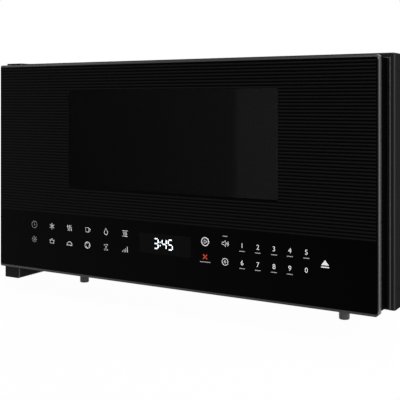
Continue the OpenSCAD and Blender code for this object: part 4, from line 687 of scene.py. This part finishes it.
ink_t = 0.05 * mm
glass_low, glass_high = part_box("door_glass")
shroud_low, shroud_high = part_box("window_shroud")
shroud_edge = Vector((5 * mm, 0, 5 * mm))
window_low, window_high = shroud_low + shroud_edge, shroud_high - shroud_edge
face_low = glass_low + Vector((0, ink_t, 0))
black_glass = finish("black printed glass", (0.001, 0.001, 0.0011), 0.3, specular=0.009, grain=60,
                     mottle=0.1, gloss_spread=0.01, relief=0.02)
face_tree = black_glass.node_tree
# The black ground is painted paler at the left and towards the bottom: a painted reflection of the room on the
# glass.
reflection_left, reflection_right, top_share = 2.6, 0.5, 0.3
reflection_across = span(face_tree, "X", glass_low.x, glass_high.x, reflection_left, reflection_right)
reflection_upward = span(face_tree, "Z", glass_low.z, glass_high.z, 1, top_share)
mix_in(face_tree, 1, tree_math(face_tree, "MULTIPLY", reflection_across, reflection_upward), "MULTIPLY")
glass_corner, glass_arris = 3 * mm, 0.4 * mm
glass_mesh = ground_sheet("printed glass", face_low, glass_high, glass_corner, glass_arris,
                          (window_low, window_high))
solid_from("printed_door_glass", glass_mesh, "door", black_glass, ("door_glass",))

smoked_glass = finish("smoked window glass", (0.0025, 0.0025, 0.0027), 0.3, specular=0.012, grain=60,
                      mottle=0.1, gloss_spread=0.01, relief=0.02)
smoke_tree = smoked_glass.node_tree
# Over its smoke tint the window is painted paler to the right, with a step near its right edge: a painted
# reflection in the glass.
smoke_span = span(smoke_tree, "X", window_low.x, window_high.x)
smoke_and_reflection_tone = add_node(smoke_tree, "ShaderNodeValToRGB", {"Fac": smoke_span})
set_inputs(smoke_tree, smoke_tree.nodes["Principled BSDF"], {"Alpha": 0.85, "Base Color": smoke_and_reflection_tone})
reflection_step, reflection_step_blur = 0.824, 0.012
smoke_and_reflection_tones, blue_share = (0.0017, 0.0037, 0.0068, 0.0071), 1.05
for share in (reflection_step - reflection_step_blur, reflection_step + reflection_step_blur):
    smoke_and_reflection_tone.color_ramp.elements.new(share)
for stop, tone in zip(smoke_and_reflection_tone.color_ramp.elements, smoke_and_reflection_tones):
    stop.color = (tone, tone, tone * blue_share, 1)
pane_low = Vector((window_low.x, face_low.y, window_low.z))
pane_high = Vector((window_high.x, glass_high.y, window_high.z))
pane_corner, pane_arris = 0.2 * mm, 0.05 * mm
pane_mesh = ground_sheet("smoked window", pane_low, pane_high, pane_corner, pane_arris)
solid_from("smoked_door_window", pane_mesh, "door", smoked_glass)

# Printed lines: thin level lines of dark grey ink over the whole glass above the control band,
# left out at the window. Each line and each mark on the glass is one stroke of ink.
pen_tree, pen = node_tree("ink strokes", {"Stroke width": "Float", "Ink height": "Float"})
paths = add_node(pen_tree, "GeometryNodeMeshToCurve", {"Mesh": pen["Geometry"]})
level = add_node(pen_tree, "GeometryNodeSetCurveNormal", {"Curve": paths}, mode="Z_UP")
nib = add_node(pen_tree, "GeometryNodeCurvePrimitiveQuadrilateral", {
    "Width": pen["Stroke width"], "Height": pen["Ink height"]})
sweep(pen_tree, pen, level, nib)

door_low, door_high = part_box("door_frame")
ink_place = Matrix.Translation((door_low.x, glass_low.y + ink_t / 2, door_low.z))
onto_glass = ink_place @ Matrix.Rotation(quarter, 4, "X")


def ink_of(name, strokes, width, ink):
    """Strokes of ink on the glass: lists of (across, up) points in mm from the door's lower left corner."""
    points, edges = [], []
    for stroke in strokes:
        first = len(points)
        closed = stroke[0] == stroke[-1]
        line = stroke[:-1] if closed else stroke
        points += [(x * mm, z * mm, 0) for x, z in line]
        edges += [(first + i, first + i + 1) for i in range(len(line) - 1)]
        if closed:
            edges.append((len(points) - 1, first))
    mesh = grown(name, pen_tree, mesh_of(name, points, edges), {
        "Stroke width": width * mm, "Ink height": ink_t, "Finish": ink})
    mesh.transform(onto_glass)
    return mesh


def from_corner(point):
    """How far across and up a point is, in mm from the door's lower left corner."""
    return (point.x - door_low.x) / mm, (point.z - door_low.z) / mm


line_ink = finish("dark grey ink", (0.0048, 0.0048, 0.005), 0.35, specular=0.01, grain=1.5, mottle=0.12)
line_pitch, line_w, first_line, line_edge = 4.37, 2.1, 90.7, 1.6
door_w, door_h = from_corner(door_high)
lip_h = (glass_low.z - door_low.z) / mm
(window_left, window_foot), (window_right, window_top) = from_corner(window_low), from_corner(window_high)
line_count = int((door_h - lip_h - line_edge - first_line) / line_pitch) + 1
level_lines = []
for z in [first_line + i * line_pitch for i in range(line_count)]:
    stops = [line_edge, door_w - line_edge]
    if window_foot - line_w / 2 < z < window_top + line_w / 2:
        stops[1:1] = [window_left, window_right]
    level_lines += [[(start, z), (end, z)] for start, end in zip(stops[::2], stops[1::2])]
solid_from("printed_level_lines", ink_of("level lines", level_lines, line_w, line_ink), "door")


# Marks on the control band: generic signs for the functions, numbers for the keys, a start and a
# stop sign, and a sign for the door. All are printed in white, grey or red ink.
def arc(x, z, radius, start=0, end=360, steps=28):
    """A stroke along a part of a circle."""
    points = rounded_corner(x, z, radius, start, end - start, steps)
    if end - start == 360:
        points[-1] = points[0]
    return points


def bar(x, z, half):
    """A level stroke."""
    return [(x - half, z), (x + half, z)]


def wave(x, height, swing, steps=14):
    """An upright wavy stroke."""
    return [(x + swing * math.sin(2 * math.pi * i / steps), height * (i / steps - 0.5))
            for i in range(steps + 1)]


def spokes(inner, outer, count, start=0):
    """Short strokes that point outwards from a centre."""
    turn = [math.radians(start + 360 * i / count) for i in range(count)]
    return [[(reach * math.cos(a), reach * math.sin(a)) for reach in (inner, outer)] for a in turn]


def placed(x, z, strokes):
    """Strokes drawn about a centre, brought to its place on the door."""
    return [[(x + right, z + up) for right, up in stroke] for stroke in strokes]


white_ink, grey_ink, red_ink = [
    finish(name, tone, 0.5, specular=0.2, grain=1.0, mottle=mottle) for name, tone, mottle in (
        ("white ink", (0.62, 0.62, 0.62), 0.04), ("grey ink", (0.3, 0.3, 0.3), 0.05),
        ("red ink", (0.6, 0.05, 0.02), 0.05))]
upper_row, lower_row = 69.3, 47.0
clock = [arc(0, 0, 5), [(0, 3), (0, 0), (2, -1.2)]]
gear = [arc(0, 0, 3.5), arc(0, 0, 1.4)] + spokes(3.7, 5.2, 8)
star = spokes(0, 4.6, 6, 30)
pot = [[(-3.4, 1.6), (-3.4, -3), (3.4, -3), (3.4, 1.6)], bar(0, 1.6, 4.8), bar(0, 3.4, 1.2)]
steam = [wave(shift, 8.4, 0.9) for shift in (-3, 0, 3)]
covered_dish = [arc(0, -2.4, 4.4, 0, 180, 16), bar(0, -3, 5.4)]
cup = [[(-3.6, 3), (-2.8, -3.4), (2, -3.4), (2.8, 3), (-3.6, 3)], arc(3, 0.4, 1.9, -80, 80, 10)]
fan = [arc(0, 0, 4.6)] + [arc(2.1 * math.cos(a), 2.1 * math.sin(a), 1.9, math.degrees(a) - 110,
                              math.degrees(a) + 40, 8) for a in (0.4, 2.5, 4.6)]
drop = [[(0, 4.6), (-2.6, 0.6)] + arc(0, -1.2, 3.1, 150, 390, 16) + [(0, 4.6)]]
hourglass = [[(-3.4, 4), (3.4, 4), (-3.4, -4), (3.4, -4), (-3.4, 4)]]
heat = [bar(0, 3.8, 4.6), bar(0, -3.8, 4.6)] + [wave(shift, 4.4, 0.6) for shift in (-2.4, 0, 2.4)]
steps_up = [[(-4.2 + 2.8 * i, -4), (-4.2 + 2.8 * i, -2.2 + 2 * i)] for i in range(4)]
sound = [[(-4.4, -1.4), (-4.4, 1.6), (-2.2, 1.6), (0.8, 3.9), (0.8, -3.7), (-2.2, -1.4), (-4.4, -1.4)],
         arc(0.8, 0, 2.3, -42, 42, 8), arc(0.8, 0, 4.2, -42, 42, 8)]
plus = [arc(0, 0, 4.4), bar(0, 0, 2), [(0, -2), (0, 2)]]
clock_x, sound_x, plus_z, start_x, stop_z = 69.7, 399.3, 45.4, 369, 49
fine_signs = placed(clock_x, upper_row, clock) + placed(clock_x, lower_row, gear)
signs = []
for x, upper, lower in ((104.4, star, pot), (137.9, steam, covered_dish), (171.4, cup, fan),
                        (204.9, drop, hourglass), (238.3, heat, steps_up)):
    signs += placed(x, upper_row, upper) + placed(x, lower_row, lower)
signs += placed(sound_x, upper_row, sound) + placed(sound_x, plus_z, plus)
digit_columns, digit_rows = (424.4, 447.1, 469.9, 491.8, 514.1), (68.5, 46.2)
key_drop, key_half = 7.1, 4
key_bars = [bar(x, z - key_drop, key_half) for x in digit_columns for z in digit_rows][:-1]
key_bars += [bar(sound_x, 78.9, 3.5), bar(start_x, 42.2, 8)]
start_sign = placed(start_x, upper_row, [arc(0, 0, 5.4), [(-1.6, 2.6), (2.8, 0), (-1.6, -2.6), (-1.6, 2.6)]])
stop_sign = placed(start_x, stop_z, [[(-3, -3), (3, 3)], [(-3, 3), (3, -3)]])
for mark, strokes, width, ink in (
        ("setting_signs", fine_signs, 0.5, grey_ink), ("function_signs", signs, 0.85, white_ink),
        ("key_bars", key_bars, 1.0, grey_ink), ("start_sign", start_sign, 1.2, white_ink),
        ("stop_sign", stop_sign, 1.3, red_ink)):
    solid_from(f"printed_{mark}", ink_of(mark, strokes, width, ink), "door")


def filled(outline):
    """A filled shape of ink on the glass."""
    form = bmesh.new()
    form.faces.new([form.verts.new((x * mm, z * mm, -ink_t / 2)) for x, z in outline])
    lifted = bmesh.ops.extrude_face_region(form, geom=list(form.faces))["geom"]
    bmesh.ops.translate(form, vec=(0, 0, ink_t), verts=[v for v in lifted if isinstance(v, bmesh.types.BMVert)])
    bmesh.ops.recalc_face_normals(form, faces=form.faces)
    mesh = to_plain(form, "filled mark")
    mesh.transform(onto_glass)
    return mesh


def key_number(sign, x, z, size=9.0):
    """A number of ink on the glass."""
    text = bpy.data.curves.new("key number", "FONT")
    text.body = sign
    text.size = size * mm
    text.extrude = ink_t / 2
    text.align_x = text.align_y = "CENTER"
    drawn = plain(bpy.data.objects.new("key number", text))
    drawn.transform(onto_glass @ Matrix.Translation((x * mm, z * mm, 0)))
    return drawn


open_sign = placed(538.8, 56.6, [[(-5.2, -1.6), (5.2, -1.6), (0, 4.8)],
                                 [(-5.2, -4.6), (5.2, -4.6), (5.2, -3.2), (-5.2, -3.2)]])
open_mesh = joined("open sign", [filled(outline) for outline in open_sign])
solid_from("printed_open_sign", open_mesh, "door", white_ink)
number_mesh = joined("key numbers", [key_number(sign, x, z) for z, row in zip(digit_rows, ("12345", "67890"))
                                     for x, sign in zip(digit_columns, row)])
solid_from("printed_key_numbers", number_mesh, "door", white_ink)

# Display: a slightly paler window in the black print, through which the module's lit segments
# show. They form a clock with plain numbers.
display_tint = finish("display window", (0.0025, 0.0025, 0.0027), 0.3, specular=0.014, grain=4, mottle=0.15)
(left, foot), (right, top) = [from_corner(corner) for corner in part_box("display_module")]
patch = filled([(left, foot), (right, foot), (right, top), (left, top)])
patch_sink = 0.6 * ink_t
patch.transform(Matrix.Translation((0, patch_sink, 0)))
solid_from("display_window", patch, "door", display_tint)

lit = finish("lit segments", (0.85, 0.9, 0.95), 0.4, grain=1.0, mottle=0.03)
set_inputs(lit.node_tree, lit.node_tree.nodes["Principled BSDF"], {
    "Emission Color": (0.85, 0.93, 1, 1), "Emission Strength": 0.7})
segment_places = {"a": ((0, 2), (1, 2)), "b": ((1, 2), (1, 1)), "c": ((1, 1), (1, 0)), "d": ((0, 0), (1, 0)),
                  "e": ((0, 1), (0, 0)), "f": ((0, 2), (0, 1)), "g": ((0, 1), (1, 1))}
shown_time = (("abgcd", 0), ("fgbc", 13.2), ("afgcd", 23.2))
segment_w, segment_gap, digit_w, digit_step = 1.6, 0.95, 6.6, 6.7
first_digit_x, digit_low_z, colon_x, dot_half, dot_shares = 287.6, 53.1, 9.9, 0.8, (0.65, 1.35)
segments = []
for lit_segments, offset in shown_time:
    for letter in lit_segments:
        (x0, z0), (x1, z1) = segment_places[letter]
        run = Vector((x1 - x0, z1 - z0)).normalized() * segment_gap
        digit_x = first_digit_x + offset
        segments.append([(digit_x + x0 * digit_w + run.x, digit_low_z + z0 * digit_step + run.y),
                         (digit_x + x1 * digit_w - run.x, digit_low_z + z1 * digit_step - run.y)])
for z in [digit_low_z + share * digit_step for share in dot_shares]:
    segments.append([(first_digit_x + colon_x, z - dot_half), (first_digit_x + colon_x, z + dot_half)])
solid_from("lit_clock_segments", ink_of("clock segments", segments, segment_w, lit), "door")

# Inner cover: a fine black moulding that closes the back of the door and guides the latch, held by
# six countersunk cross-head screws.
eased("door_back_cover", "door_inner_cover", 0.5 * mm, "door", black_moulding)
low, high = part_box("door_screws")
cover_places = [(x, high.y - low_head, z) for x in (low.x + head_r, high.x - head_r)
                for z in (low.z + head_r, (low.z + high.z) / 2, high.z - head_r)]
cover_screws = screws("cover screws", cover_places, to_back, low_head, 10 * mm)
solid_from("cover_cross_head_screws", cover_screws, "door", zinc, ("door_screws",))

# Latch: a slider moulded in nylon with two hooks, which moves up and down in the door, and the
# spring of coiled steel wire that presses it down.
eased("latch_slider_with_hooks", "latch_slider", 0.4 * mm, "door_latch", bush_nylon)
coil_tree, coiled = node_tree("coil spring", dict.fromkeys(
    ("Turns", "Coil radius", "Wire radius", "Length"), "Float"))
coil = add_node(coil_tree, "GeometryNodeCurveSpiral", {
    "Resolution": 20, "Rotations": coiled["Turns"], "Start Radius": coiled["Coil radius"],
    "End Radius": coiled["Coil radius"], "Height": coiled["Length"]})
wire = add_node(coil_tree, "GeometryNodeCurvePrimitiveCircle", {
    "Resolution": 8, "Radius": coiled["Wire radius"]})
sweep(coil_tree, coiled, coil, wire)
spring_low, spring_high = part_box("latch_spring")
wire_r = 0.4 * mm
spring_mesh = grown("latch coil", coil_tree, mesh_of("spring seed", [(0, 0, 0)]), {
    "Turns": 9.0, "Coil radius": (spring_high.x - spring_low.x) / 2 - wire_r, "Wire radius": wire_r,
    "Length": spring_high.z - spring_low.z - 2 * wire_r, "Finish": zinc})
spring_mid = (spring_low + spring_high) / 2
spring_mesh.transform(Matrix.Translation((spring_mid.x, spring_mid.y, spring_low.z + wire_r)))
spring = solid_from("latch_coil_spring", spring_mesh, "door", None, ("latch_spring",))
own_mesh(spring)

# Studio: a plain pale floor and a white surround, with large soft lamps at the right, above, in
# front and at the left. The floor and the surround show white, and the floor keeps a faint shadow.
camera = bpy.data.objects.new("camera", bpy.data.cameras.new("camera"))
scene.collection.objects.link(camera)
camera.location = (0.6066, -1.1787, 0.2921)
camera.rotation_euler = (math.radians(90), 0, math.radians(30.43))
camera.data.sensor_width = 36
camera.data.lens = 72.9
camera.data.shift_y = -0.245
scene.camera = camera


def seen_white(tree):
    """One for the rays that show the studio: to the camera, in a mirror and through glass."""
    rays = add_node(tree, "ShaderNodeLightPath").outputs
    mirrored = tree_math(tree, "MAXIMUM", rays["Is Glossy Ray"], rays["Is Transmission Ray"])
    return tree_math(tree, "MAXIMUM", rays["Is Camera Ray"], mirrored)


floor_paint = bpy.data.materials.new("pale studio floor")
floor_paint.use_nodes = True
floor_tree = floor_paint.node_tree
floor_tree.nodes.clear()
floor_pale, floor_glow = 0.85, 0.97
matt = add_node(floor_tree, "ShaderNodeBsdfDiffuse", {"Color": (floor_pale, floor_pale, floor_pale, 1)})
white = add_node(floor_tree, "ShaderNodeEmission", {"Strength": 1})
glow_share = tree_math(floor_tree, "MULTIPLY", seen_white(floor_tree), floor_glow)
floor_mix = add_node(floor_tree, "ShaderNodeMixShader", {0: glow_share, 1: matt, 2: white})
add_node(floor_tree, "ShaderNodeOutputMaterial", {0: floor_mix})
half = 12
floor_corners = [(-half, -half, 0), (half, -half, 0), (half, half, 0), (-half, half, 0)]
floor = bpy.data.objects.new("floor", mesh_of("floor", floor_corners, (), [(0, 1, 2, 3)]))
floor.data.materials.append(floor_paint)
scene.collection.objects.link(floor)

world = bpy.data.worlds.new("white surround")
scene.world = world
world.use_nodes = True
world_tree = world.node_tree
ambient = 0.3
extra = tree_math(world_tree, "MULTIPLY", seen_white(world_tree), 1 - ambient)
set_inputs(world_tree, world_tree.nodes["Background"], {
    "Color": (1, 1, 1, 1), "Strength": tree_math(world_tree, "ADD", extra, ambient)})


def soft_lamp(name, place, target, size, power, height=None):
    """A large lamp that faces a point."""
    lamp = bpy.data.objects.new(name, bpy.data.lights.new(name, "AREA"))
    lamp.data.shape = "RECTANGLE"
    lamp.data.size = size
    lamp.data.size_y = height or size
    lamp.data.energy = power
    lamp.location = place
    lamp.rotation_euler = (Vector(target) - Vector(place)).to_track_quat("-Z", "Y").to_euler()
    scene.collection.objects.link(lamp)


soft_lamp("right lamp", (2.2, -0.5, 0.9), (0.2, 0, 0.15), 1.4, 50)
soft_lamp("top lamp", (-0.3, -0.6, 2.2), (0, 0, 0.2), 1.6, 12)
soft_lamp("front lamp", (1.0, -2.2, 0.5), (0.1, 0, 0.1), 0.9, 26)
soft_lamp("left strip", (-1.25, -1.2, 0.6), (-0.2, -0.25, 0.2), 0.12, 2.2, 1.2)
scene.view_settings.view_transform = "Standard"
